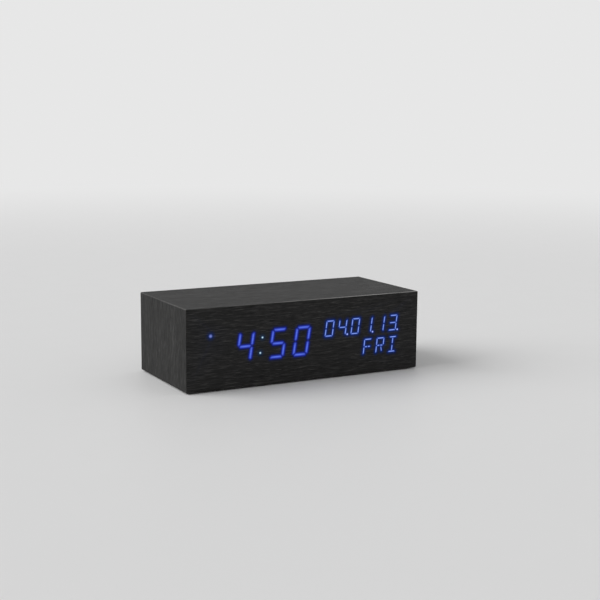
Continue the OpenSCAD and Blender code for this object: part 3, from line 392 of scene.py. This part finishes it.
steelCard = {"texture": 3200.0, "clouds": 260.0, "colours": ((0.42, 0.42, 0.43), (0.62, 0.62, 0.63)),
             "roughness": (0.22, 0.42), "specular": 0.50, "depth": 0.000008, "metallic": 1.0}
goldCard = {"texture": 3200.0, "clouds": 260.0, "colours": ((0.62, 0.42, 0.14), (0.80, 0.58, 0.24)),
            "roughness": (0.20, 0.36), "specular": 0.50, "depth": 0.000006, "metallic": 1.0}


# circuit boards: green solder mask over copper tracks
boardCard = {
    "mask": (0.010, 0.075, 0.030),  # over bare laminate
    "trace": (0.022, 0.130, 0.055),  # over copper
    "plane": (1.0, 0.0, 1.0),  # the tracks run along the face of a board
    "pitch": 260.0,  # pattern to a metre, as the weave
    "traceWidth": 0.09,  # in parts of the pitch
    "weave": 1500.0,
    "weaveSpan": (0.75, 1.0),
    "roughness": (0.28, 0.42),
    "specular": 0.45,
    "depth": 0.00003,
    "bump": 0.6,
}


def circuitFinish(name, card):
    mat, tree, shader = newFinish(name)
    black, white = (0.0, 0.0, 0.0), (1.0, 1.0, 1.0)
    tracks = addNode(tree, "ShaderNodeTexBrick", None, {
        "Vector": stretched(tree, card["plane"]), "Scale": card["pitch"],
        "Mortar Size": card["traceWidth"], "Mortar": white,
        "Color1": black, "Color2": black}).outputs["Color"]
    weave = noiseOf(tree, objectPlace(tree), card["weave"])
    base = mixOf(tree, "MIX", tracks, card["mask"], card["trace"])
    base = mixOf(tree, "MULTIPLY", 1.0, base, spanOf(tree, weave, *card["weaveSpan"]))
    dress(tree, shader, baseColor=base, roughness=spanOf(tree, weave, *card["roughness"]),
          specularIorLevel=card["specular"], normal=bumpOf(tree, tracks, card["depth"], card["bump"]))
    return mat


finishes = {
    "panel": mouldedFinish("texturedBlackMoulding", panelCard),
    "cap": mouldedFinish("satinBlackCaps", capCard),
    "rubber": mouldedFinish("blackRubber", rubberCard),
    "fibre": mouldedFinish("bareFibreboard", fibreCard),
    "white": mouldedFinish("whiteReflector", whiteCard),
    "milky": mouldedFinish("milkyLightBars", milkyCard),
    "blue": mouldedFinish("litBlue", blueCard),
    "pale": mouldedFinish("litPale", paleCard),
    "chip": mouldedFinish("chipResin", chipCard),
    "lamp": mouldedFinish("lampResin", lampCard),
    "ivory": mouldedFinish("ivoryNylon", ivoryCard),
    "grey": mouldedFinish("greyRibbonJacket", greyCard),
    "sleeve": mouldedFinish("capacitorSleeve", sleeveCard),
    "red": mouldedFinish("redLeadJacket", redCard),
    "cell": mouldedFinish("cellJacket", jacketCard),
    "ink": mouldedFinish("paleInk", inkCard),
    "steel": mouldedFinish("platedSteel", steelCard),
    "gold": mouldedFinish("goldPlate", goldCard),
    "board": circuitFinish("greenCircuitBoard", boardCard),
    "lengthwise": veneerFinish("veneerLengthwise"),
    "upright": veneerFinish("veneerUpright", upright=True),
    "face": veneerFinish("veneerFaceLit", lit=True),
}
nodeFinishes = {
    "lengthwise": ["top_board", "base_board", "face_veneer"],
    "upright": ["left_end_board", "right_end_board"],
    "fibre": ["front_panel", "corner_blocks"],
    "rubber": ["feet", "microphone_boot"],
    "panel": ["rear_panel", "battery_door", "battery_tray", "power_jack_housing"],
    "cap": ["set_button_cap", "up_button_cap", "down_button_cap", "alarm_button_cap", "sound_switch_knob"],
    "steel": ["rear_panel_screws", "display_board_screws", "main_board_screws", "crystal", "microphone",
              "sound_switch_body", "contact_plates", "contact_springs"],
    "gold": ["power_jack_pin"],
    "board": ["display_board", "main_board"],
    "chip": ["driver_chips", "control_chip", "sounder", "tact_switches"],
    "lamp": ["led_chips"],
    "white": ["time_reflector", "calendar_reflector"],
    "milky": ["time_light_bars", "calendar_light_bars"],
    "blue": ["lit_time_digits", "lit_date_digits", "lit_weekday_letters"],
    "pale": ["lit_dots"],
    "grey": ["ribbon_cable"],
    "ivory": ["ribbon_sockets", "set_button_plunger", "up_button_plunger", "down_button_plunger",
              "alarm_button_plunger", "sound_switch_lever"],
    "sleeve": ["capacitors"],
    "cell": ["battery_cells"],
    "red": ["battery_leads"],
}
for finish, names in nodeFinishes.items():
    for name in names:
        for slot in nodes[name].material_slots:
            slot.material = finishes[finish]
bare = sorted(set(nodes) - {name for names in nodeFinishes.values() for name in names})
print("finishes: %d, nodes without one: %s" % (len(finishes), bare))


# helpers for meshes
touching = 1e-6  # metres between points that are one


def solidsOf(name):
    # a node's solids, each as an array of its points
    bm = bmesh.new()
    bm.from_mesh(nodes[name].data)
    bmesh.ops.remove_doubles(bm, verts=bm.verts[:], dist=touching)
    seen = set()
    solids = []
    for start in bm.verts:
        if start in seen:
            continue
        seen.add(start)
        reached = [start]
        for vert in reached:
            for edge in vert.link_edges:
                other = edge.other_vert(vert)
                if other not in seen:
                    seen.add(other)
                    reached.append(other)
        solids.append(np.array([vert.co for vert in reached]))
    bm.free()
    return solids


def addPiece(name, bm, body, slotName, *materials):
    mesh = bpy.data.meshes.new(name)
    bm.to_mesh(mesh)
    bm.free()
    for material in materials:
        mesh.materials.append(material)
    piece = bpy.data.objects.new(name, mesh)
    scene.collection.objects.link(piece)
    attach(piece, body)
    return piece


def sharpen(bm, degrees):
    for edge in bm.edges:
        edge.smooth = edge.calc_face_angle(0.0) < math.radians(degrees)


def smoothStep(share):
    return share * share * (3.0 - 2.0 * share)


# face: one sheet of veneer with the display shining through it
faceCard = {
    "corner": 0.8,  # millimetres, as everything on the face
    "leastCorner": 0.05,
    "cornerSteps": 7,
    "ease": 0.55,
    "easeSteps": 5,
    "flat": 0.01,  # depth within which points are on a solid's front
    "dotSize": 3.0,  # lit patches smaller than this, and as wide as high, are dots
    "dotSlack": 0.1,  # by which width and height may differ
    "dotSides": 24,
    "alarmLeftOf": -70.0,
    "insets": (0.28, 0.55, 0.82),  # contours inside a lit patch, in parts of its half width
    "outsets": (0.45, 0.2),  # and outside it, in millimetres again
    "spacing": 0.9,
    "haloNear": (0.55, 0.65, 1.5),  # spacing of points, from and to this far from a patch
    "haloFar": (1.1, 1.5, 4.0),
    "merge": 1e-5,
}
# linear colours, how far a stroke fades to its ends, and the fall of its edge and its halo
glowCards = {
    "time": {"core": (0.088, 0.150, 0.72), "rim": (0.010, 0.020, 0.29), "halo": (0.0, 0.004, 0.062),
             "ends": 0.34, "soft": 0.56, "reach": 1.5},
    "calendar": {"core": (0.285, 0.410, 0.86), "rim": (0.026, 0.062, 0.36), "halo": (0.0, 0.012, 0.100),
                 "ends": 0.18, "soft": 0.30, "reach": 1.6},
    "point": {"core": (0.62, 0.70, 1.00), "rim": (0.22, 0.29, 0.84), "halo": (0.0, 0.012, 0.100),
              "ends": 0.0, "soft": 0.28, "reach": 1.6},
    "colon": {"core": (0.86, 1.00, 1.00), "rim": (0.20, 0.35, 0.50), "halo": (0.0, 0.013, 0.042),
              "ends": 0.0, "soft": 0.28, "reach": 2.0},
    "alarm": {"core": (0.190, 0.225, 0.52), "rim": (0.070, 0.095, 0.31), "halo": (0.0, 0.010, 0.070),
              "ends": 0.0, "soft": 0.30, "reach": 2.0},
}
glowShape = {
    "span": 3.0,  # reaches after which a halo has died away
    "coreFrom": 0.74,  # share of the half width, in from the rim, where the core is full
    "endFall": 0.45,  # how far the rim fades to the ends, to the core's fading
}


def roundOutline(outline, sides):
    low, high = outline.min(axis=0), outline.max(axis=0)
    angles = 2.0 * np.pi * np.arange(sides) / sides
    return (low + high) / 2 + (high - low) / 2 * np.stack([np.cos(angles), np.sin(angles)], axis=1)


def frontOutline(points, flat):
    # hull of a solid's front, in millimetres, running anticlockwise
    front = points[points[:, 1] < points[:, 1].min() + flat * mm][:, (0, 2)] / mm
    outline = front[convex_hull_2d([tuple(point) for point in front])]
    following = np.roll(outline, -1, axis=0)
    area = (outline[:, 0] * following[:, 1] - outline[:, 1] * following[:, 0]).sum()
    return outline[::-1] if area < 0 else outline


def litPatches(card):
    patches = []
    for name in ("lit_time_digits", "lit_dots", "lit_date_digits", "lit_weekday_letters"):
        for points in solidsOf(name):
            outline = frontOutline(points, card["flat"])
            wide, high = np.ptp(outline, axis=0)
            key = "time" if name == "lit_time_digits" else "calendar"
            if max(wide, high) < card["dotSize"] and abs(wide - high) < card["dotSlack"]:
                outline = roundOutline(outline, card["dotSides"])
                key = "point" if name == "lit_date_digits" else "colon"
                if outline[:, 0].mean() < card["alarmLeftOf"]:
                    key = "alarm"
            patches.append((outline, glowCards[key]))
    return patches


def sidesOf(outline):
    sides = np.roll(outline, -1, axis=0) - outline
    lengths = np.linalg.norm(sides, axis=1)
    outward = np.stack([sides[:, 1], -sides[:, 0]], axis=1) / lengths[:, None]
    return sides, lengths, outward


def awayFrom(points, outline):
    # distance to a convex outline, below nothing inside it
    sides, lengths, outward = sidesOf(outline)
    offsets = points[:, None, :] - outline[None]
    depth = (offsets * outward[None]).sum(axis=2).max(axis=1)
    share = np.clip((offsets * sides[None]).sum(axis=2) / lengths ** 2, 0.0, 1.0)
    gap = np.linalg.norm(offsets - share[..., None] * sides[None], axis=2).min(axis=1)
    return np.where(depth > 0.0, gap, depth)


def halfWidth(outline):
    return -awayFrom(outline.mean(axis=0)[None], outline)[0]


def offsetOutline(outline, distance):
    # each corner moves along its mitre
    outward = sidesOf(outline)[2]
    before = np.roll(outward, 1, axis=0)
    mitre = (outward + before) / (1.0 + (outward * before).sum(axis=1))[:, None]
    return outline + mitre * distance


def spread(outline, spacing):
    points = []
    for start, end in zip(outline, np.roll(outline, -1, axis=0)):
        count = max(1, int(math.ceil(np.linalg.norm(end - start) / spacing)))
        points += [start + (end - start) * step / count for step in range(count)]
    return points


def roundedOutline(card, edges, inset):
    # the face's outline, with the same count of points for each inset
    low, high = edges
    radius = max(card["corner"] - inset, card["leastCorner"])
    steps = card["cornerSteps"]
    points = []
    for index, (right, top) in enumerate(((True, False), (True, True), (False, True), (False, False))):
        centre = (high[0] - inset - radius if right else low[0] + inset + radius,
                  high[1] - inset - radius if top else low[1] + inset + radius)
        for step in range(steps):
            angle = math.radians(90.0 * (index - 1 + step / (steps - 1)))
            points.append((centre[0] + radius * math.cos(angle), centre[1] + radius * math.sin(angle)))
    return points


def shineAt(points, patches):
    strokes = np.zeros((len(points), 3))
    halos = np.zeros((len(points), 3))
    for outline, card in patches:
        gap = awayFrom(points, outline)
        near = gap < glowShape["span"] * card["reach"]
        gap = gap[near]
        centre = outline.mean(axis=0)
        axis = np.linalg.svd(outline - centre)[2][0]
        half = np.abs((outline - centre) @ axis).max()
        along = np.clip(np.abs((points[near] - centre) @ axis) / half, 0.0, 1.0)
        inside = smoothStep(np.clip(-gap / (glowShape["coreFrom"] * halfWidth(outline)), 0.0, 1.0))
        core, rim, halo = (np.array(card[key]) for key in ("core", "rim", "halo"))
        colour = rim + (core - rim) * (inside * (1.0 - card["ends"] * along ** 2))[:, None]
        colour = colour * (1.0 - glowShape["endFall"] * card["ends"] * along ** 3)[:, None]
        outside = np.maximum(gap, 0.0)
        strokes[near] = np.maximum(strokes[near], colour * np.exp(-(outside / card["soft"]) ** 2)[:, None])
        halos[near] = np.maximum(halos[near], halo * np.exp(-(outside / card["reach"]) ** 2)[:, None])
    return np.clip(strokes + halos, 0.0, 1.0)


def haloPoints(patches, spacing, nearest, farthest):
    # points in staggered rows round the patches
    found = []
    for outline, _ in patches:
        low, high = outline.min(axis=0) - farthest, outline.max(axis=0) + farthest
        rows = np.arange(math.floor(low[1] / spacing), math.ceil(high[1] / spacing) + 1)
        columns = np.arange(math.floor(low[0] / spacing), math.ceil(high[0] / spacing) + 1)
        found += [(column, row) for column in columns for row in rows]
    places = np.array(sorted(set(found)), dtype=float)
    points = np.stack([(places[:, 0] + 0.5 * (places[:, 1] % 2)) * spacing, places[:, 1] * spacing], axis=1)
    gaps = np.min([awayFrom(points, outline) for outline, _ in patches], axis=0)
    return points[(gaps >= nearest) & (gaps < farthest)]


def layFace(card, rim, patches):
    # points and triangles of the flat sheet, and which of the points are the rim's
    points, links = [], []

    def addLoop(loop):
        first = len(points)
        points.extend(Vector((float(point[0]), float(point[1]))) for point in loop)
        links.extend((first + step, first + (step + 1) % len(loop)) for step in range(len(loop)))

    addLoop(rim)
    for outline, _ in patches:
        width = halfWidth(outline)
        for distance in card["outsets"]:
            addLoop(spread(offsetOutline(outline, distance), card["spacing"]))
        addLoop(spread(outline, card["spacing"]))
        for share in card["insets"]:
            addLoop(spread(offsetOutline(outline, -share * width), card["spacing"]))
    for key in ("haloNear", "haloFar"):
        points.extend(Vector(point) for point in haloPoints(patches, *card[key]).tolist())
    verts, _, faces, origins, _, _ = delaunay_2d_cdt(points, links, [], 0, card["merge"])
    rimPlaces = {wanted: index for index, source in enumerate(origins) for wanted in source}
    return verts, faces, [rimPlaces[wanted] for wanted in range(len(rim))]


def buildFace(card):
    low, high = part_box("face_veneer")
    front, back = low.y / mm, high.y / mm
    edges = [(low.x / mm, low.z / mm), (high.x / mm, high.z / mm)]
    patches = litPatches(card)
    verts, faces, rimPlaces = layFace(card, roundedOutline(card, edges, card["ease"]), patches)
    glow = shineAt(np.array([tuple(vert) for vert in verts]), patches)

    bm = bmesh.new()
    shine = bm.verts.layers.float_color.new("shine")
    ease = bm.verts.layers.float.new("ease")
    sheet = []
    for vert, colour in zip(verts, glow):
        sheet.append(bm.verts.new((vert.x * mm, front * mm, vert.y * mm)))
        sheet[-1][shine] = (*colour, 1.0)
    for face in faces:
        corners = [sheet[index] for index in face]
        area = (corners[1].co - corners[0].co).cross(corners[2].co - corners[0].co)
        bm.faces.new(corners if area.y < 0 else corners[::-1])

    # the eased edge in steps, then straight to the back
    ring = [sheet[place] for place in rimPlaces]
    for step in range(1, card["easeSteps"] + 2):
        eased = step <= card["easeSteps"]
        turn = math.radians(90.0 * min(step, card["easeSteps"]) / card["easeSteps"])
        inset = card["ease"] * (1.0 - math.sin(turn))
        depth = front + card["ease"] * (1.0 - math.cos(turn)) if eased else back
        outer = []
        for point in roundedOutline(card, edges, inset):
            outer.append(bm.verts.new((point[0] * mm, depth * mm, point[1] * mm)))
            outer[-1][shine] = (0.0, 0.0, 0.0, 1.0)
            outer[-1][ease] = math.sin(2.0 * turn)
        for index in range(len(ring)):
            following = (index + 1) % len(ring)
            strip = bm.faces.new((ring[index], ring[following], outer[following], outer[index]))
            strip.smooth = eased
        ring = outer
    bm.faces.new(ring[::-1])
    bmesh.ops.recalc_face_normals(bm, faces=bm.faces[:])
    print("face: %d patches, %d points" % (len(patches), len(bm.verts)))
    piece = addPiece("lit_veneer_face", bm, "case", "black_veneer", finishes["face"])
    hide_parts("face_veneer", "lit_time_digits", "lit_dots",
                "lit_date_digits", "lit_weekday_letters")


buildFace(faceCard)


# cells: a plain jacket crimped over steel ends, with a washer round the nub
cellCard = {
    "disc": 3.7,  # radius of the flat end, in millimetres as all of these
    "discFlare": 0.2,  # wider at the foot of the groove round it
    "groove": 0.35,
    "lip": 0.75,  # how far the jacket folds in over an end
    "lipEdge": (0.12, 0.15),  # its bevel, along the cell and across
    "round": 0.4,
    "roundTurns": (90.0, 60.0, 30.0, 0.0),  # degrees
    "nub": (1.9, 0.8),  # radius and height
    "nubFoot": 0.5,  # wider than the nub at the washer
    "nubSteps": ((0.9, 0.1), (0.25, -0.05), (0.06, -0.2), (0.0, -0.5)),  # back from its tip, off its radius
    "sides": 56,
    "sign": (2.4, 0.4),  # length and width of a sign's bars
    "signFrom": 6.5,  # middle of a sign from its end of the cell
    "signTurn": 26.0,  # degrees up from straight back
    "ink": 0.03,
    "inkSteps": 9,
    "sharp": 40.0,  # degrees between faces that meet in a crisp edge
}
springCard = {
    "wire": 0.6,
    "radii": (3.2, 1.9),  # at the plate and at the cell
    "turns": 3,
    "rings": 28,  # to a turn
    "sides": 10,
    "flatEnds": 0.45,  # share of the climb that eases in and out
    "sharp": 50.0,
}


def latheAlong(bm, axis, start, toward, profile, sides):
    # profile: (millimetres from start, radius, material) from one pole to the other
    rings = []
    for along, radius, _ in profile:
        x = start + toward * along * mm
        angles = [2.0 * math.pi * step / sides for step in range(sides if radius else 1)]
        spots = [(radius * mm * math.cos(angle), radius * mm * math.sin(angle)) for angle in angles]
        rings.append([bm.verts.new((x, axis[0] + across, axis[1] + up)) for across, up in spots])
    for first, second, (_, _, finish) in zip(rings, rings[1:], profile):
        for step in range(sides):
            corners = [ring[place % len(ring)] for ring, place in
                       ((first, step), (second, step), (second, step + 1), (first, step + 1))]
            face = bm.faces.new(list(dict.fromkeys(corners)))
            face.material_index = finish
            face.smooth = True


def printBar(bm, card, axis, radius, ends, turns, finish):
    # a thin bar of ink round the jacket, from turn to turn in radians
    rings = []
    inner, outer = (radius - card["ink"]) * mm, (radius + card["ink"]) * mm
    for turn in np.linspace(*turns, card["inkSteps"]):
        corners = ((inner, ends[0]), (inner, ends[1]), (outer, ends[1]), (outer, ends[0]))
        rings.append([bm.verts.new((x, axis[0] + out * math.cos(turn), axis[1] + out * math.sin(turn)))
                      for out, x in corners])
    faces = [bm.faces.new(rings[0]), bm.faces.new(rings[-1][::-1])]
    for first, second in zip(rings, rings[1:]):
        for step in range(len(first)):
            following = (step + 1) % len(first)
            faces.append(bm.faces.new((first[step], second[step], second[following], first[following])))
    for face in faces:
        face.material_index = finish


def printSign(bm, card, axis, radius, x, plus, finish):
    long, wide = (size / 2 for size in card["sign"])
    middle = math.radians(card["signTurn"])
    bars = [(long, -wide, wide)]
    if plus:
        bars += [(wide, wide, long), (wide, -long, -wide)]
    for half, low, high in bars:
        printBar(bm, card, axis, radius, (x - half * mm, x + half * mm),
                 (middle + low / radius, middle + high / radius), finish)


def cellPlaces():
    # each cell's axis, flat end, way from there to its nub and size, and its spring's length
    for cell, spring in zip(*(sorted(solidsOf(name), key=lambda points: points[:, 2].mean())
                              for name in ("battery_cells", "contact_springs"))):
        low, high = cell.min(axis=0), cell.max(axis=0)
        toward = 1.0 if spring[:, 0].mean() < cell[:, 0].mean() else -1.0
        axis = (low[1:] + high[1:]) / 2
        yield axis, low[0] if toward > 0 else high[0], toward, (high - low) / mm, np.ptp(spring[:, 0]) / mm


def cellProfile(card, length, radius, jacket, steel, washer):
    nubRadius, nubHeight = card["nub"]
    shoulder = length - nubHeight
    inner = radius - card["lip"]
    groove = card["groove"]
    bevelAlong, bevelAcross = card["lipEdge"]
    turn = card["round"]
    corner = [(turn * (1.0 - math.sin(angle)), radius - turn * (1.0 - math.cos(angle)))
              for angle in np.radians(card["roundTurns"])]
    profile = [(0.0, 0.0, steel), (0.0, card["disc"], steel),
               (groove, card["disc"] + card["discFlare"], washer), (groove, inner, jacket),
               (bevelAlong, inner, jacket), (0.0, inner + bevelAcross, jacket)]
    profile += [(along, out, jacket) for along, out in corner]
    profile += [(shoulder - along, out, jacket) for along, out in corner[::-1]]
    profile += [(shoulder, inner + bevelAcross, jacket), (shoulder - bevelAlong, inner, jacket),
                (shoulder - groove, inner, washer), (shoulder - groove, nubRadius + card["nubFoot"], steel)]
    profile += [(length - along, nubRadius + out, steel) for along, out in card["nubSteps"]]
    return profile + [(length, 0.0, steel)]


def buildCells(card):
    jacket, steel, washer, ink = range(4)
    bm = bmesh.new()
    for axis, flat, toward, size, _ in cellPlaces():
        length, radius = size[0], size[2] / 2
        profile = cellProfile(card, length, radius, jacket, steel, washer)
        latheAlong(bm, axis, flat, toward, profile, card["sides"])
        plusAt = length - card["nub"][1] - card["signFrom"]
        for plus, along in ((True, plusAt), (False, card["signFrom"])):
            printSign(bm, card, axis, radius, flat + toward * along * mm, plus, ink)
    bmesh.ops.recalc_face_normals(bm, faces=bm.faces[:])
    sharpen(bm, card["sharp"])
    piece = addPiece("jacketed_cells", bm, "case", "cell_jacket",
                     finishes["cell"], finishes["steel"], finishes["cap"], finishes["ink"])
    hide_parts("battery_cells")


def sweepTube(bm, path, radius, sides, side):
    # side: a direction near each point that isn't along the tube
    rings = []
    for index, point in enumerate(path):
        along = (path[min(index + 1, len(path) - 1)] - path[max(index - 1, 0)]).normalized()
        across = (side[index] - along * side[index].dot(along)).normalized()
        other = along.cross(across)
        rings.append([bm.verts.new(point + (across * math.cos(angle) + other * math.sin(angle)) * radius)
                      for angle in (2.0 * math.pi * step / sides for step in range(sides))])
    for first, second in zip(rings, rings[1:]):
        for step in range(sides):
            following = (step + 1) % sides
            bm.faces.new((first[step], second[step], second[following], first[following])).smooth = True
    bm.faces.new(rings[0])
    bm.faces.new(rings[-1][::-1])


def buildSprings(card):
    bm = bmesh.new()
    atPlate, atCell = card["radii"]
    wire, eased = card["wire"], card["flatEnds"]
    count = card["turns"] * card["rings"]
    for axis, flat, toward, _, length in cellPlaces():
        path, side = [], []
        for step in range(count + 1):
            share = step / count
            angle = 2.0 * math.pi * step / card["rings"]
            radius = atPlate + (atCell - atPlate) * share
            climb = (1.0 - eased) * share + eased * smoothStep(share)
            rise = wire / 2 + (length - wire) * climb
            out = Vector((0.0, toward * math.cos(angle), math.sin(angle)))
            path.append(Vector((flat - toward * (length - rise) * mm, *axis)) + out * radius * mm)
            side.append(out)
        sweepTube(bm, path, wire / 2 * mm, card["sides"], side)
    bmesh.ops.recalc_face_normals(bm, faces=bm.faces[:])
    sharpen(bm, card["sharp"])
    piece = addPiece("coiled_contact_springs", bm, "case", "steel", finishes["steel"])
    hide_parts("contact_springs")


buildCells(cellCard)
buildSprings(springCard)
print("cells and springs built")


# printed words beside the buttons and the switch
legendCard = {
    "height": 2.3,  # millimetres, as all of these
    "thick": 0.05,
    "above": 2.1,  # from a button's cap to the foot of its word
    "over": 0.8,  # from the switch's knob to the foot of its words
    "apart": 3.0,  # from the middle of its slot to the middle of each
    "curveSteps": 4,
}


def wordMesh(card, word):
    curve = bpy.data.curves.new("word", "FONT")
    curve.body = word
    curve.size = card["height"] * mm
    curve.extrude = card["thick"] / 2 * mm
    curve.align_x = "CENTER"
    curve.resolution_u = card["curveSteps"]
    holder = bpy.data.objects.new("word", curve)
    mesh = bpy.data.meshes.new_from_object(holder)
    bpy.data.objects.remove(holder)
    return mesh


def buildLegends(card):
    words = []
    for word, node in (("SET", "set_button_cap"), ("UP", "up_button_cap"),
                       ("DOWN", "down_button_cap"), ("ALARM", "alarm_button_cap")):
        low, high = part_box(node)
        words.append((word, (low.x + high.x) / 2, high.z + card["above"] * mm))
    low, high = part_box("sound_switch_knob")
    slide = next(joint for joint in frame["joints"] if joint["name"] == "sound_switch_slide")
    middle = (low.x + high.x + sum(slide["range_m"])) / 2
    for word, way in (("ON", 1.0), ("OFF", -1.0)):
        words.append((word, middle + way * card["apart"] * mm, high.z + card["over"] * mm))
    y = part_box("rear_panel")[1].y + card["thick"] / 2 * mm
    bm = bmesh.new()
    for word, x, z in words:
        mesh = wordMesh(card, word)
        # set upright, to be read from behind
        mesh.transform(Matrix(((-1, 0, 0, x), (0, 0, 1, y), (0, 1, 0, z), (0, 0, 0, 1))))
        bm.from_mesh(mesh)
    addPiece("button_words", bm, "case", "white_plastic", finishes["ink"])
    print("words: %d" % len(words))


buildLegends(legendCard)


# floor, world and lamp
stageCard = {
    "floor": (0.80, 0.80, 0.80),
    "floorRoughness": (0.50, 0.58),
    "floorSpecular": 0.2,
    "mottle": (30.0, 3.0),  # to a metre, and detail
    "background": (0.80, 0.80, 0.80),
    "size": 40.0,  # metres
    "fade": (0.7, 2.4),  # metres from the case, where the floor turns to the background
    "ambient": 0.45,
    "keyFrom": (-0.75, 0.25, 0.50),
    "keyStrength": 2.2,
    "keySoftness": 50.0,  # degrees
}


def seenRays(tree):
    rays = addNode(tree, "ShaderNodeLightPath").outputs
    seen = mathOf(tree, "MAXIMUM", rays["Is Camera Ray"], rays["Is Glossy Ray"])
    return mathOf(tree, "MAXIMUM", seen, rays["Is Transmission Ray"])


def mixInto(tree, output, factor, first, second):
    blend = addNode(tree, "ShaderNodeMixShader", None, {
        0: factor, 1: first.outputs[0], 2: second.outputs[0]})
    tree.links.new(blend.outputs[0], tree.nodes[output].inputs["Surface"])


def buildFloor(card):
    half = card["size"] / 2
    mesh = bpy.data.meshes.new("floor")
    corners = [(-half, -half, 0), (half, -half, 0), (half, half, 0), (-half, half, 0)]
    mesh.from_pydata(corners, [], [(0, 1, 2, 3)])
    floor = bpy.data.objects.new("floor", mesh)
    scene.collection.objects.link(floor)
    mat, tree, shader = newFinish("paleFloor")
    mottle = noiseOf(tree, objectPlace(tree), *card["mottle"])
    dress(tree, shader, baseColor=card["floor"], specularIorLevel=card["floorSpecular"],
          roughness=spanOf(tree, mottle, *card["floorRoughness"]))
    away = addNode(tree, "ShaderNodeVectorMath", {"operation": "LENGTH"}, {
        0: objectPlace(tree)}).outputs["Value"]
    fade = addNode(tree, "ShaderNodeMapRange", {"interpolation_type": "SMOOTHSTEP"}, {
        "Value": away, "From Min": card["fade"][0], "From Max": card["fade"][1]}).outputs["Result"]
    glow = addNode(tree, "ShaderNodeEmission", None, {"Color": card["background"]})
    mixInto(tree, "Material Output", timesOf(tree, fade, seenRays(tree)), shader, glow)
    mesh.materials.append(mat)


def lightStudio(card):
    world = bpy.data.worlds.new("studio")
    scene.world = world
    world.use_nodes = True
    tree = world.node_tree
    light = tree.nodes["Background"]
    light.inputs["Color"].default_value = (1.0, 1.0, 1.0, 1.0)
    light.inputs["Strength"].default_value = card["ambient"]
    shown = addNode(tree, "ShaderNodeBackground", None, {"Color": card["background"], "Strength": 1.0})
    mixInto(tree, "World Output", seenRays(tree), light, shown)

    lamp = bpy.data.lights.new("key", "SUN")
    lamp.energy = card["keyStrength"]
    lamp.angle = math.radians(card["keySoftness"])
    key = bpy.data.objects.new("key", lamp)
    key.rotation_euler = Vector(card["keyFrom"]).to_track_quat("Z", "Y").to_euler()
    scene.collection.objects.link(key)


buildFloor(stageCard)
lightStudio(stageCard)
scene.view_settings.view_transform = "Standard"
print("stage and light set")
